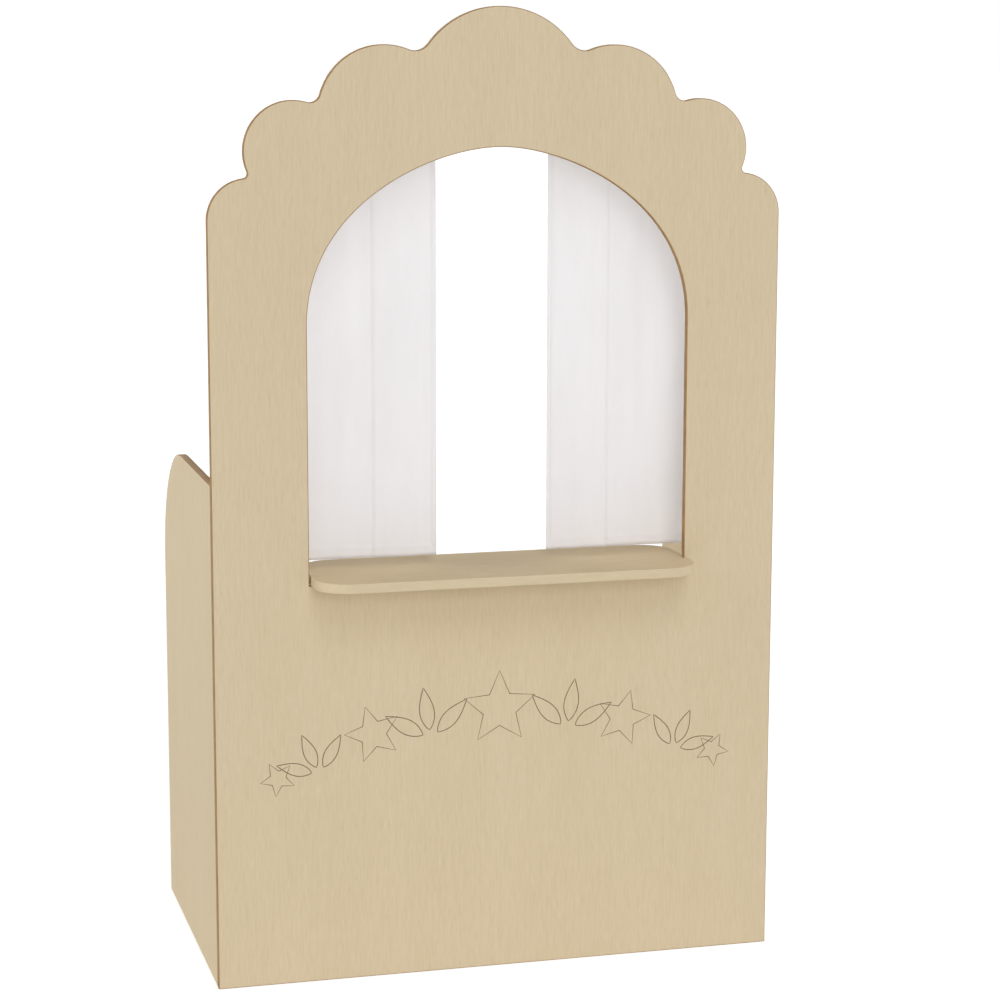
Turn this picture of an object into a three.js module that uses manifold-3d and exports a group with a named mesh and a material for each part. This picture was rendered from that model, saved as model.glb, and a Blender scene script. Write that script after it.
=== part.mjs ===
// Puppet theater stand: a scalloped front panel with an arched window, two low side panels, a playing
// shelf on the window's sill and a pair of curtains that slide on a rod behind the panel.
// Millimetres, +Z up, front towards -Y. The origin is on the floor, at the middle of the whole stand.

import * as THREE from "three";
import { mergeVertices } from "three/addons/utils/BufferGeometryUtils.js";
import Module from "manifold-3d";

const wasm = await Module();
wasm.setup();

// Whole stand
const panelWidth = 1100;
const panelHeight = 1840;
const overallDepth = 635;
const boardThickness = 15;

// Clearances
const boardGap = 0.3;
const boreClearance = 0.3;
const seatGap = 0.3;
const cutOverrun = 4;

// Scalloped top: radii, places across as shares of the panel's half width, and how far the top of
// each lobe lies below the panel's highest point
const crownRadius = 171.3;
const middleLobeRadius = 124.2;
const outerLobeRadius = 92.6;
const shoulderRadius = 76.2;
const middleLobeAcrossShare = 0.4;
const outerLobeAcrossShare = 0.708;
const valleyReachShare = 0.6;
const middleLobeDrop = 69.6;
const outerLobeDrop = 169.2;
const shoulderDrop = 385.6;
const innerValleyRadius = 32;
const middleValleyRadius = 19.5;
const outerValleyRadius = 9;

// Arched window: the arch is one smooth curve a side, from the upright jamb to the crown
const windowWidth = 736;
const windowSill = 772.5;
const windowTopDrop = 257;
const archRise = 325;
const archJambShare = 0.695;
const archCrownShare = 0.344;

// Side panels
const sideHeight = 968;
const sideRoundDepth = 256;
const sideRoundHeight = 248;

// The shelf and the curtain rod both stand a little to the right of the window's middle
const fittedAside = 5;

// Shelf: its right end hooks round the window's jamb
const shelfWidth = 740;
const shelfThickness = 18;
const shelfFrontReach = 93;
const shelfBackReach = 138;
const shelfCornerRadius = 65;
const shelfEndClearance = 0.5;
const shelfBandThickness = 1.5;
const glueLine = 0.1;

// Angle brackets under the shelf
const angleInset = 118;
const angleLegUp = 60;
const angleLegBack = 80;
const angleWidth = 24;
const angleThickness = 2.5;
const angleHoleEdge = 14;

// Curtain rod and its brackets
const rodRadius = 8;
const rodWall = 1.2;
const rodAboveWindow = 29;
const rodStandOff = 70;
const rodBracketPastLobe = 40;
const rodPastBracket = 16;
const capThickness = 6;
const capPastRing = 1.5;
const capPlugLength = 14;
const domeShare = 0.75;
const eyeWall = 4;
const eyeWidth = 10;
const plateWidth = 26;
const plateHeight = 46;
const plateThickness = 3;
const armHeight = 10;
const armWidth = 8;
const plateScrewSpacing = 32;

// Curtains and rings
const curtainParting = 219;
const hemAboveShelf = 13.5;
const clothThickness = 1.2;
const leadFlat = 119;
const stepWidth = 4;
const foldForward = 2;
const foldBack = 1.5;
const pleatDepth = 30;
const pleatWidth = 54;
const pleatCount = 3;
const gatherDrop = 110;
const ringCount = 6;
const ringHole = 11;
const ringWire = 1.8;
const leadRingInset = 8;

// Knock-down fittings between a side panel and the front panel
const camRadius = 7.5;
const camDepth = 12.4;
const camFromEdge = 24;
const camCrossLength = 8;
const camCrossWidth = 1.6;
const camCrossDepth = 1.8;
const boltThreadRadius = 2.5;
const boltThreadLength = 11;
const boltShankRadius = 3;
const boltFlangeRadius = 3.8;
const boltFlangeThickness = 1.2;
const boltNeckRadius = 1.8;
const boltHeadRadius = 3.2;
const boltBoreRadius = 4.2;
const dowelRadius = 4;
const dowelLength = 30;
const dowelInPanel = 10;
const dowelChamfer = 1;
const camHeightShares = [0.1, 0.5, 0.88];
const dowelHeightShares = [0.3, 0.7];

// Wood screws
const screwHeadRadius = 4;
const screwHeadHeight = 2.2;
const screwShankRadius = 1.9;
const screwLength = 13;
const screwPoint = 3;

// How finely round shapes are cut
const arcStep = Math.PI / 30;
const archSteps = 24;
const roundSides = 24;
const boreSides = 12;
const ringSides = 16;
const ringWireSides = 6;
const stepsPerPleat = 8;

// Places that several pieces share. Y is counted from the front face of the front panel.
const halfWidth = panelWidth / 2;
const halfWindow = windowWidth / 2;
const windowTop = panelHeight - windowTopDrop;
const shelfTop = windowSill + seatGap + shelfThickness;
const sideFront = boardThickness + boardGap;
const sideMiddle = halfWidth - boardThickness / 2;
const rodY = boardThickness + rodStandOff;
const rodZ = windowTop + rodAboveWindow;
const bracketX = halfWidth * outerLobeAcrossShare + rodBracketPastLobe;
const rodEnd = bracketX + rodPastBracket;
const ringZ = rodZ - (ringHole - rodRadius - seatGap);
const ringBottom = ringZ - ringHole - 2 * ringWire;
const leadEdge = curtainParting / 2;
const curtainEnd = rodEnd - seatGap;
const curtainSpan = curtainEnd - leadEdge;
const curtainTop = ringBottom - seatGap;
const curtainHem = shelfTop + hemAboveShelf;

const axisX = new THREE.Vector3(1, 0, 0);
const axisY = new THREE.Vector3(0, 1, 0);
const axisZ = new THREE.Vector3(0, 0, 1);
const upright = new THREE.Matrix4().makeBasis(axisX, axisZ, axisY.clone().negate());
const sideways = new THREE.Matrix4().makeBasis(axisY, axisZ, axisX);

const materials = {
  facedBoard: new THREE.MeshStandardMaterial({ color: 0xd0bfa1, roughness: 0.55, metalness: 0 }),
  edgeBand: new THREE.MeshStandardMaterial({ color: 0xd2c19f, roughness: 0.5, metalness: 0 }),
  cloth: new THREE.MeshStandardMaterial({ color: 0xf0edeb, roughness: 0.9, metalness: 0 }),
  paintedSteel: new THREE.MeshStandardMaterial({ color: 0xe4e2de, roughness: 0.35, metalness: 0.1 }),
  plastic: new THREE.MeshStandardMaterial({ color: 0xe9e7e2, roughness: 0.5, metalness: 0 }),
  zinc: new THREE.MeshStandardMaterial({ color: 0xb9bab8, roughness: 0.35, metalness: 1 }),
  beech: new THREE.MeshStandardMaterial({ color: 0xcfa878, roughness: 0.7, metalness: 0 }),
};

const stand = new THREE.Group();

function addPiece(name, geometry, material, x = 0, y = 0, z = 0) {
  const mesh = new THREE.Mesh(geometry, material);
  mesh.name = name;
  mesh.position.set(x, y, z);
  stand.add(mesh);
  return mesh;
}

// Geometry to a solid for cutting and joining, and back
function solidOf(geometry) {
  const bare = geometry.clone();
  bare.deleteAttribute("normal");
  bare.deleteAttribute("uv");
  const merged = mergeVertices(bare);
  return new wasm.Manifold(new wasm.Mesh({
    numProp: 3,
    vertProperties: new Float32Array(merged.attributes.position.array),
    triVerts: new Uint32Array(merged.index.array),
  }));
}

function geometryOf(solid) {
  const { vertProperties, triVerts } = solid.getMesh();
  const geometry = new THREE.BufferGeometry();
  geometry.setAttribute("position", new THREE.BufferAttribute(vertProperties, 3));
  geometry.setIndex(new THREE.BufferAttribute(triVerts, 1));
  geometry.computeVertexNormals();
  return geometry;
}

function cut(geometry, tools) {
  let solid = solidOf(geometry);
  for (const tool of tools) {
    solid = solid.subtract(solidOf(tool));
  }
  return geometryOf(solid);
}

function join(geometries) {
  let solid = solidOf(geometries[0]);
  for (const geometry of geometries.slice(1)) {
    solid = solid.add(solidOf(geometry));
  }
  return geometryOf(solid);
}

// Outline helpers: points along arcs, with no point twice
function arcPoints(x, y, radius, from, to, clockwise) {
  const turn = THREE.MathUtils.euclideanModulo(clockwise ? from - to : to - from, 2 * Math.PI);
  const curve = new THREE.EllipseCurve(x, y, radius, radius, from, to, clockwise);
  return curve.getPoints(Math.max(2, Math.ceil(turn / arcStep)));
}

function outline(points) {
  const kept = points.filter((p, i) => i === 0 || p.distanceTo(points[i - 1]) > seatGap / 10);
  return new THREE.Shape(kept);
}

function extrude(shape, depth) {
  return new THREE.ExtrudeGeometry(shape, { depth, bevelEnabled: false });
}

// A board standing across the stand, its front face at Y = 0
function frontBoard(shape) {
  return extrude(shape, boardThickness).applyMatrix4(upright).translate(0, boardThickness, 0);
}

function box(x0, x1, y0, y1, z0, z1) {
  const geometry = new THREE.BoxGeometry(x1 - x0, y1 - y0, z1 - z0);
  return geometry.translate((x0 + x1) / 2, (y0 + y1) / 2, (z0 + z1) / 2);
}

// Round bars and bores from one place along an axis to another
function barAlongX(radius, x0, x1, y, z, sides = roundSides) {
  const geometry = new THREE.CylinderGeometry(radius, radius, x1 - x0, sides);
  return geometry.rotateZ(-Math.PI / 2).translate((x0 + x1) / 2, y, z);
}

function barAlongY(radius, y0, y1, x, z, sides = boreSides) {
  const geometry = new THREE.CylinderGeometry(radius, radius, y1 - y0, sides);
  return geometry.translate(x, (y0 + y1) / 2, z);
}

function barAlongZ(radius, z0, z1, x, y, sides = boreSides) {
  const geometry = new THREE.CylinderGeometry(radius, radius, z1 - z0, sides);
  return geometry.rotateX(Math.PI / 2).translate(x, y, (z0 + z1) / 2);
}

function lathe(profile, sides = boreSides) {
  return new THREE.LatheGeometry(profile.map(([r, h]) => new THREE.Vector2(r, h)), sides);
}

// Scalloped top
const lobes = [
  { x: halfWidth - shoulderRadius, z: panelHeight - shoulderDrop, r: shoulderRadius },
  {
    x: halfWidth * outerLobeAcrossShare,
    z: panelHeight - outerLobeDrop - outerLobeRadius,
    r: outerLobeRadius,
  },
  {
    x: halfWidth * middleLobeAcrossShare,
    z: panelHeight - middleLobeDrop - middleLobeRadius,
    r: middleLobeRadius,
  },
  { x: 0, z: panelHeight - crownRadius, r: crownRadius },
];
const valleys = [outerValleyRadius, middleValleyRadius, innerValleyRadius];

// The small circle in the valley between two lobes, which touches both from outside. Where the lobes
// stand apart it grows until it reaches both.
function valleyBetween(a, b, wantedRadius) {
  const dx = b.x - a.x;
  const dz = b.z - a.z;
  const distance = Math.hypot(dx, dz);
  const r = Math.max(wantedRadius, valleyReachShare * (distance - a.r - b.r));
  const along = ((a.r + r) ** 2 - (b.r + r) ** 2 + distance ** 2) / (2 * distance);
  const out = Math.sqrt((a.r + r) ** 2 - along ** 2);
  return {
    x: a.x + (dx * along + dz * out) / distance,
    z: a.z + (dz * along - dx * out) / distance,
    r,
  };
}

function angleTo(from, to) {
  return Math.atan2(to.z - from.z, to.x - from.x);
}

function panelOutline() {
  const mirrored = lobes.slice(0, -1).reverse().map((lobe) => ({ ...lobe, x: -lobe.x }));
  const allLobes = [...lobes, ...mirrored];
  const allValleys = [...valleys, ...[...valleys].reverse()];
  const points = [new THREE.Vector2(-halfWidth, 0), new THREE.Vector2(halfWidth, 0)];
  let start = 0;
  allLobes.forEach((lobe, i) => {
    if (i === allLobes.length - 1) {
      points.push(...arcPoints(lobe.x, lobe.z, lobe.r, start, Math.PI, false));
      return;
    }
    const next = allLobes[i + 1];
    const valley = valleyBetween(lobe, next, allValleys[i]);
    const from = angleTo(valley, lobe);
    const to = angleTo(valley, next);
    points.push(...arcPoints(lobe.x, lobe.z, lobe.r, start, angleTo(lobe, valley), false));
    points.push(...arcPoints(valley.x, valley.z, valley.r, from, to, true));
    start = angleTo(next, valley);
  });
  return outline(points);
}

function windowOutline() {
  const springing = windowTop - archRise;
  const half = new THREE.CubicBezierCurve(
    new THREE.Vector2(halfWindow, springing),
    new THREE.Vector2(halfWindow, springing + archRise * archJambShare),
    new THREE.Vector2(halfWindow * archCrownShare, windowTop),
    new THREE.Vector2(0, windowTop),
  ).getPoints(archSteps);
  const otherHalf = [...half].reverse().map((p) => new THREE.Vector2(-p.x, p.y));
  const sill = [new THREE.Vector2(-halfWindow, windowSill), new THREE.Vector2(halfWindow, windowSill)];
  return outline([...sill, ...half, ...otherHalf]);
}

// Heights of the fittings, shared by both boards and the fittings themselves
const camHeights = camHeightShares.map((share) => share * sideHeight);
const dowelHeights = dowelHeightShares.map((share) => share * sideHeight);
const sides = [["left", -1], ["right", 1]];

// Front panel, with the window, and blind bores in its back for bolts, dowels and screws
const angleX = halfWindow - angleInset;
const plateScrewHeights = [-1, 1].map((way) => rodZ + way * plateScrewSpacing / 2);
const angleWallScrewHeights = [
  windowSill - angleHoleEdge,
  windowSill - angleLegUp + angleHoleEdge,
];

// Bore for a screw that first passes through a steel plate on the panel's back
function screwBore(x, z, plate) {
  const tip = boardThickness + 2 * seatGap + plate - screwLength;
  const radius = screwShankRadius + boreClearance;
  return barAlongY(radius, tip - boreClearance, boardThickness + cutOverrun, x, z);
}

const frontShape = panelOutline();
frontShape.holes.push(windowOutline());
const frontTools = [];
for (const [, way] of sides) {
  for (const z of camHeights) {
    frontTools.push(barAlongY(
      boltThreadRadius + boreClearance,
      boardThickness - boltThreadLength - boreClearance,
      boardThickness + cutOverrun,
      way * sideMiddle,
      z,
    ));
  }
  for (const z of dowelHeights) {
    frontTools.push(barAlongY(
      dowelRadius + boreClearance,
      boardThickness - dowelInPanel - boreClearance,
      boardThickness + cutOverrun,
      way * sideMiddle,
      z,
    ));
  }
  for (const z of angleWallScrewHeights) {
    frontTools.push(screwBore(way * angleX, z, angleThickness));
  }
  for (const z of plateScrewHeights) {
    frontTools.push(screwBore(fittedAside + way * bracketX, z, plateThickness));
  }
}
addPiece("front_panel", cut(frontBoard(frontShape), frontTools), materials.facedBoard);

// Side panels: the rear top corner is a quarter of an ellipse
function sideOutline() {
  const rear = overallDepth;
  const round = new THREE.EllipseCurve(
    rear - sideRoundDepth,
    sideHeight - sideRoundHeight,
    sideRoundDepth,
    sideRoundHeight,
    0,
    Math.PI / 2,
    false,
  ).getPoints(archSteps);
  return outline([
    new THREE.Vector2(sideFront, 0),
    new THREE.Vector2(rear, 0),
    ...round,
    new THREE.Vector2(sideFront, sideHeight),
  ]);
}

for (const [side, way] of sides) {
  const board = extrude(sideOutline(), boardThickness).applyMatrix4(sideways);
  board.translate(way > 0 ? halfWidth - boardThickness : -halfWidth, 0, 0);
  const innerFace = way * (halfWidth - boardThickness);
  const camEnds = [innerFace - way * cutOverrun, innerFace + way * (camDepth + boreClearance)];
  const tools = [];
  for (const z of camHeights) {
    tools.push(barAlongX(
      camRadius + boreClearance,
      Math.min(...camEnds),
      Math.max(...camEnds),
      sideFront + camFromEdge,
      z,
    ));
    tools.push(barAlongY(
      boltBoreRadius,
      sideFront - cutOverrun,
      sideFront + camFromEdge,
      way * sideMiddle,
      z,
    ));
  }
  for (const z of dowelHeights) {
    tools.push(barAlongY(
      dowelRadius + boreClearance,
      sideFront - cutOverrun,
      boardThickness + dowelLength - dowelInPanel + boreClearance,
      way * sideMiddle,
      z,
    ));
  }
  addPiece(`side_panel_${side}`, cut(board, tools), materials.facedBoard);
}

// Knock-down fittings. A cam lies in the side panel's inner face and grips the head of a bolt that
// is screwed into the back of the front panel.
const camInset = boardThickness / 2;

// The bolt's head goes in through a mouth on the cam's lower side. A quarter turn then brings a
// narrower slot round to the bolt's neck.
function camGeometry(way) {
  const face = -way * camInset;
  const deep = face + way * camDepth;
  const body = barAlongX(camRadius, Math.min(face, deep), Math.max(face, deep), 0, 0);
  const headRoom = boltHeadRadius + boreClearance;
  const neckRoom = boltNeckRadius + boreClearance;
  const past = camRadius + cutOverrun;
  const chamber = barAlongY(headRoom, -headRoom, headRoom, 0, 0);
  const mouth = barAlongZ(headRoom, -past, 0, 0, 0);
  const neckBore = barAlongY(neckRoom, -past, 0, 0, 0);
  const quarter = new THREE.Shape([
    new THREE.Vector2(0, 0),
    new THREE.Vector2(-past, 0),
    new THREE.Vector2(-past, -past),
    new THREE.Vector2(0, -past),
  ]);
  const slot = extrude(quarter, 2 * neckRoom).translate(0, 0, -neckRoom).applyMatrix4(sideways);
  const crossEnds = [face - way * cutOverrun, face + way * camCrossDepth];
  const x0 = Math.min(...crossEnds);
  const x1 = Math.max(...crossEnds);
  const long = camCrossLength / 2;
  const thin = camCrossWidth / 2;
  const cross = [box(x0, x1, -long, long, -thin, thin), box(x0, x1, -thin, thin, -long, long)];
  return cut(body, [chamber, mouth, neckBore, slot, ...cross]);
}

// Bolt along Y, from the tip of its thread to the top of its head, with Y = 0 at the front panel's back
function boltGeometry() {
  const flangeStart = boardGap;
  const camAxis = sideFront - boardThickness + camFromEdge;
  const neckStart = camAxis - camRadius - boreClearance;
  const neckEnd = camAxis - boltHeadRadius / 2;
  const headTop = neckEnd + boltHeadRadius;
  return lathe([
    [0, -boltThreadLength],
    [boltThreadRadius, -boltThreadLength],
    [boltThreadRadius, flangeStart],
    [boltFlangeRadius, flangeStart],
    [boltFlangeRadius, flangeStart + boltFlangeThickness],
    [boltShankRadius, flangeStart + boltFlangeThickness],
    [boltShankRadius, neckStart],
    [boltNeckRadius, neckStart],
    [boltNeckRadius, neckEnd],
    [boltHeadRadius, neckEnd],
    [boltHeadRadius, headTop],
    [0, headTop],
  ]);
}

function dowelGeometry() {
  const start = -dowelInPanel;
  const end = start + dowelLength;
  return lathe([
    [0, start],
    [dowelRadius - dowelChamfer, start],
    [dowelRadius, start + dowelChamfer],
    [dowelRadius, end - dowelChamfer],
    [dowelRadius - dowelChamfer, end],
    [0, end],
  ]);
}

for (const [side, way] of sides) {
  camHeights.forEach((z, i) => {
    const x = way * sideMiddle;
    addPiece(`cam_${side}_${i + 1}`, camGeometry(way), materials.zinc, x, sideFront + camFromEdge, z);
    addPiece(`cam_bolt_${side}_${i + 1}`, boltGeometry(), materials.zinc, x, boardThickness, z);
  });
  dowelHeights.forEach((z, i) => {
    addPiece(`dowel_${side}_${i + 1}`, dowelGeometry(), materials.beech, way * sideMiddle, boardThickness, z);
  });
}

// Shelf: a board with a band glued round its edge, both notched where the right end passes the jamb
const shelfFront = -shelfFrontReach;
const shelfBack = boardThickness + shelfBackReach;

function roundedPlan(inset) {
  const r = shelfCornerRadius - inset;
  const right = fittedAside + shelfWidth / 2 - shelfCornerRadius;
  const left = fittedAside - shelfWidth / 2 + shelfCornerRadius;
  const back = shelfBack - shelfCornerRadius;
  const front = shelfFront + shelfCornerRadius;
  const quarter = Math.PI / 2;
  return [
    ...arcPoints(right, back, r, 0, quarter, false),
    ...arcPoints(left, back, r, quarter, Math.PI, false),
    ...arcPoints(left, front, r, Math.PI, -quarter, false),
    ...arcPoints(right, front, r, -quarter, 0, false),
  ];
}

const angleWall = boardThickness + seatGap;
const angleBack = angleWall + angleLegBack;
const angleShelfScrewY = [angleBack - angleHoleEdge, angleBack - angleLegBack / 2];
const shelfBottom = windowSill + seatGap;
const angleTop = shelfBottom - seatGap;
const shelfScrewSeat = angleTop - angleThickness - seatGap;
const shelfNotch = box(
  halfWindow - shelfEndClearance,
  fittedAside + shelfWidth / 2 + cutOverrun,
  -boardGap,
  boardThickness + boardGap,
  shelfBottom - cutOverrun,
  shelfBottom + shelfThickness + cutOverrun,
);
const shelfTools = [shelfNotch];
for (const [, way] of sides) {
  for (const y of angleShelfScrewY) {
    shelfTools.push(barAlongZ(
      screwShankRadius + boreClearance,
      shelfBottom - cutOverrun,
      shelfScrewSeat + screwLength + boreClearance,
      way * angleX,
      y,
    ));
  }
}
const shelfBoard = extrude(outline(roundedPlan(shelfBandThickness + glueLine)), shelfThickness);
addPiece("puppet_shelf", cut(shelfBoard.translate(0, 0, shelfBottom), shelfTools), materials.facedBoard);

const bandShape = outline(roundedPlan(0));
bandShape.holes.push(outline(roundedPlan(shelfBandThickness)));
const shelfBand = extrude(bandShape, shelfThickness).translate(0, 0, shelfBottom);
addPiece("shelf_edge_band", cut(shelfBand, [shelfNotch]), materials.edgeBand);

// Wood screw along +Y, the underside of its head at Y = 0 and its point towards -Y
function screwGeometry() {
  return lathe([
    [0, -screwLength],
    [screwShankRadius, screwPoint - screwLength],
    [screwShankRadius, 0],
    [screwHeadRadius, 0],
    [screwHeadRadius, screwHeadHeight / 2],
    [screwHeadRadius * Math.SQRT1_2, screwHeadHeight],
    [0, screwHeadHeight],
  ]);
}

// Angle brackets: one leg on the back of the front panel, one under the shelf
function angleGeometry(x) {
  const x0 = x - angleWidth / 2;
  const x1 = x + angleWidth / 2;
  const face = angleWall + angleThickness;
  const bracket = join([
    box(x0, x1, angleWall, face, angleTop - angleLegUp, angleTop),
    box(x0, x1, angleWall, angleBack, angleTop - angleThickness, angleTop),
  ]);
  const holeRadius = screwShankRadius + boreClearance;
  const wallHoles = angleWallScrewHeights.map((z) =>
    barAlongY(holeRadius, angleWall - cutOverrun, face + cutOverrun, x, z));
  const shelfHoles = angleShelfScrewY.map((y) =>
    barAlongZ(holeRadius, angleTop - angleThickness - cutOverrun, angleTop + cutOverrun, x, y));
  return cut(bracket, [...wallHoles, ...shelfHoles]);
}

for (const [side, way] of sides) {
  const x = way * angleX;
  addPiece(`shelf_bracket_${side}`, angleGeometry(x), materials.zinc);
  angleWallScrewHeights.forEach((z, i) => {
    const y = angleWall + angleThickness + seatGap;
    addPiece(`shelf_bracket_wall_screw_${side}_${i + 1}`, screwGeometry(), materials.zinc, x, y, z);
  });
  angleShelfScrewY.forEach((y, i) => {
    const name = `shelf_bracket_shelf_screw_${side}_${i + 1}`;
    const screw = addPiece(name, screwGeometry(), materials.zinc, x, y, shelfScrewSeat);
    screw.rotation.x = -Math.PI / 2;
  });
}

// Curtain rod: a steel tube with a cap in each end
const tube = lathe([
  [rodRadius - rodWall, -rodEnd],
  [rodRadius, -rodEnd],
  [rodRadius, rodEnd],
  [rodRadius - rodWall, rodEnd],
  [rodRadius - rodWall, -rodEnd],
], roundSides).rotateZ(-Math.PI / 2);
addPiece("curtain_rod", tube, materials.paintedSteel, fittedAside, rodY, rodZ);

// The cap's rim is wider than a ring's hole, so the last ring can't slip off
function capGeometry() {
  const plug = rodRadius - rodWall - boreClearance;
  const rim = ringHole + capPastRing;
  return lathe([
    [0, -capPlugLength],
    [plug, -capPlugLength],
    [plug, seatGap],
    [rim, seatGap],
    [rim, capThickness / 2],
    [rim * domeShare, capThickness],
    [0, capThickness],
  ], roundSides).rotateZ(-Math.PI / 2);
}

// Rod bracket: a plate on the back of the front panel, an arm, and an eye that the rod passes through
function bracketGeometry() {
  const wall = -rodStandOff + seatGap;
  const plateFace = wall + plateThickness;
  const eyeRadius = rodRadius + boreClearance + eyeWall;
  const solid = join([
    box(-plateWidth / 2, plateWidth / 2, wall, plateFace, -plateHeight / 2, plateHeight / 2),
    box(-armWidth / 2, armWidth / 2, wall, -rodRadius, -armHeight / 2, armHeight / 2),
    barAlongX(eyeRadius, -eyeWidth / 2, eyeWidth / 2, 0, 0),
  ]);
  const bore = barAlongX(rodRadius + boreClearance, -eyeWidth, eyeWidth, 0, 0);
  const holes = plateScrewHeights.map((z) =>
    barAlongY(screwShankRadius + boreClearance, wall - cutOverrun, plateFace + cutOverrun, 0, z - rodZ));
  return cut(solid, [bore, ...holes]);
}

for (const [side, way] of sides) {
  const capX = fittedAside + way * rodEnd;
  const cap = addPiece(`rod_cap_${side}`, capGeometry(), materials.plastic, capX, rodY, rodZ);
  cap.rotation.z = way > 0 ? 0 : Math.PI;
  const x = fittedAside + way * bracketX;
  addPiece(`rod_bracket_${side}`, bracketGeometry(), materials.paintedSteel, x, rodY, rodZ);
  plateScrewHeights.forEach((z, i) => {
    const y = boardThickness + seatGap + plateThickness + seatGap;
    addPiece(`rod_bracket_screw_${side}_${i + 1}`, screwGeometry(), materials.zinc, x, y, z);
  });
}

// Rings: evenly spaced from the curtain's leading edge to its outer end, where the last one hangs
// between the bracket and the cap and stays put
const leadRingX = leadEdge + leadRingInset;
const endRingX = (bracketX + eyeWidth / 2 + rodEnd) / 2;

for (const [side, way] of sides) {
  for (let i = 0; i < ringCount; i += 1) {
    const fromMiddle = leadRingX + ((endRingX - leadRingX) * i) / (ringCount - 1);
    const x = fittedAside + way * fromMiddle;
    const ring = new THREE.TorusGeometry(ringHole + ringWire, ringWire, ringWireSides, ringSides);
    ring.rotateY(Math.PI / 2);
    addPiece(`curtain_ring_${side}_${i + 1}`, ring, materials.paintedSteel, x, rodY, ringZ);
  }
}

// Curtain: distance across from the leading edge, and how far each line of the cloth stands behind
// the rod once the folds are full. A flat leading part, one step back, a flat part and narrow pleats.
const foldSwing = (foldBack + foldForward) / 2;
const foldMiddle = (foldBack - foldForward) / 2;
const flatSteps = 3;
const stepSteps = 4;
const gatherShares = [0, 0.25, 0.5, 0.75, 1];

function clothLines() {
  const lines = [];
  const spread = (from, to, count, depthAt) => {
    for (let i = 0; i < count; i += 1) {
      lines.push({ across: from + ((to - from) * i) / count, depth: depthAt(i / count) });
    }
  };
  const stepEnd = leadFlat + stepWidth;
  const pleatStart = curtainSpan - pleatWidth;
  spread(0, leadFlat, flatSteps, () => -foldForward);
  spread(leadFlat, stepEnd, stepSteps, (s) => foldMiddle - foldSwing * Math.cos(Math.PI * s));
  spread(stepEnd, pleatStart, flatSteps, () => foldBack);
  spread(pleatStart, curtainSpan, pleatCount * stepsPerPleat, (s) =>
    foldBack - (pleatDepth / 2) * (1 - Math.cos(2 * Math.PI * pleatCount * s)));
  lines.push({ across: curtainSpan, depth: foldBack });
  return lines;
}

// How full the folds are at a height: none where the cloth is held on its rings, all a hand below
function foldShareAt(z) {
  return THREE.MathUtils.smoothstep(curtainTop - z, 0, gatherDrop);
}

function clothHeights() {
  const gathered = gatherShares.map((share) => curtainTop - share * gatherDrop);
  return [...gathered, (curtainTop - gatherDrop + curtainHem) / 2, curtainHem];
}

function curtainGeometry(way) {
  const lines = clothLines();
  const heights = clothHeights();
  const corners = [];
  for (const z of heights) {
    const row = lines.map(({ across, depth }) =>
      new THREE.Vector2(leadEdge + across, depth * foldShareAt(z)));
    row.forEach((here, i) => {
      const before = row[Math.max(0, i - 1)];
      const after = row[Math.min(row.length - 1, i + 1)];
      const across = after.clone().sub(before).normalize();
      for (const face of [-1, 1]) {
        const half = (face * clothThickness) / 2;
        corners.push(way * (here.x - across.y * half), here.y + across.x * half, z);
      }
    });
  }
  const indices = [];
  const at = (row, line, face) => 2 * (row * lines.length + line) + face;
  const quad = (a, b, c, d) => {
    indices.push(...(way > 0 ? [a, b, c, a, c, d] : [a, c, b, a, d, c]));
  };
  const lastRow = heights.length - 1;
  const lastLine = lines.length - 1;
  for (let row = 0; row < lastRow; row += 1) {
    for (let line = 0; line < lastLine; line += 1) {
      quad(at(row, line, 0), at(row + 1, line, 0), at(row + 1, line + 1, 0), at(row, line + 1, 0));
      quad(at(row, line, 1), at(row, line + 1, 1), at(row + 1, line + 1, 1), at(row + 1, line, 1));
    }
    quad(at(row, 0, 0), at(row, 0, 1), at(row + 1, 0, 1), at(row + 1, 0, 0));
    quad(at(row, lastLine, 0), at(row + 1, lastLine, 0), at(row + 1, lastLine, 1), at(row, lastLine, 1));
  }
  for (let line = 0; line < lastLine; line += 1) {
    quad(at(0, line, 0), at(0, line + 1, 0), at(0, line + 1, 1), at(0, line, 1));
    quad(at(lastRow, line, 0), at(lastRow, line, 1), at(lastRow, line + 1, 1), at(lastRow, line + 1, 0));
  }
  const geometry = new THREE.BufferGeometry();
  geometry.setAttribute("position", new THREE.Float32BufferAttribute(corners, 3));
  geometry.setIndex(indices);
  geometry.computeVertexNormals();
  return geometry;
}

for (const [side, way] of sides) {
  addPiece(`curtain_${side}`, curtainGeometry(way), materials.cloth, fittedAside, rodY, 0);
}

// The origin is at the middle of the depth from the shelf's front edge to the side panels' rear edges
stand.position.y = (shelfFrontReach - overallDepth) / 2;

export default stand;
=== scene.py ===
import math
import bmesh
import bpy
from mathutils import Matrix, Vector


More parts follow.
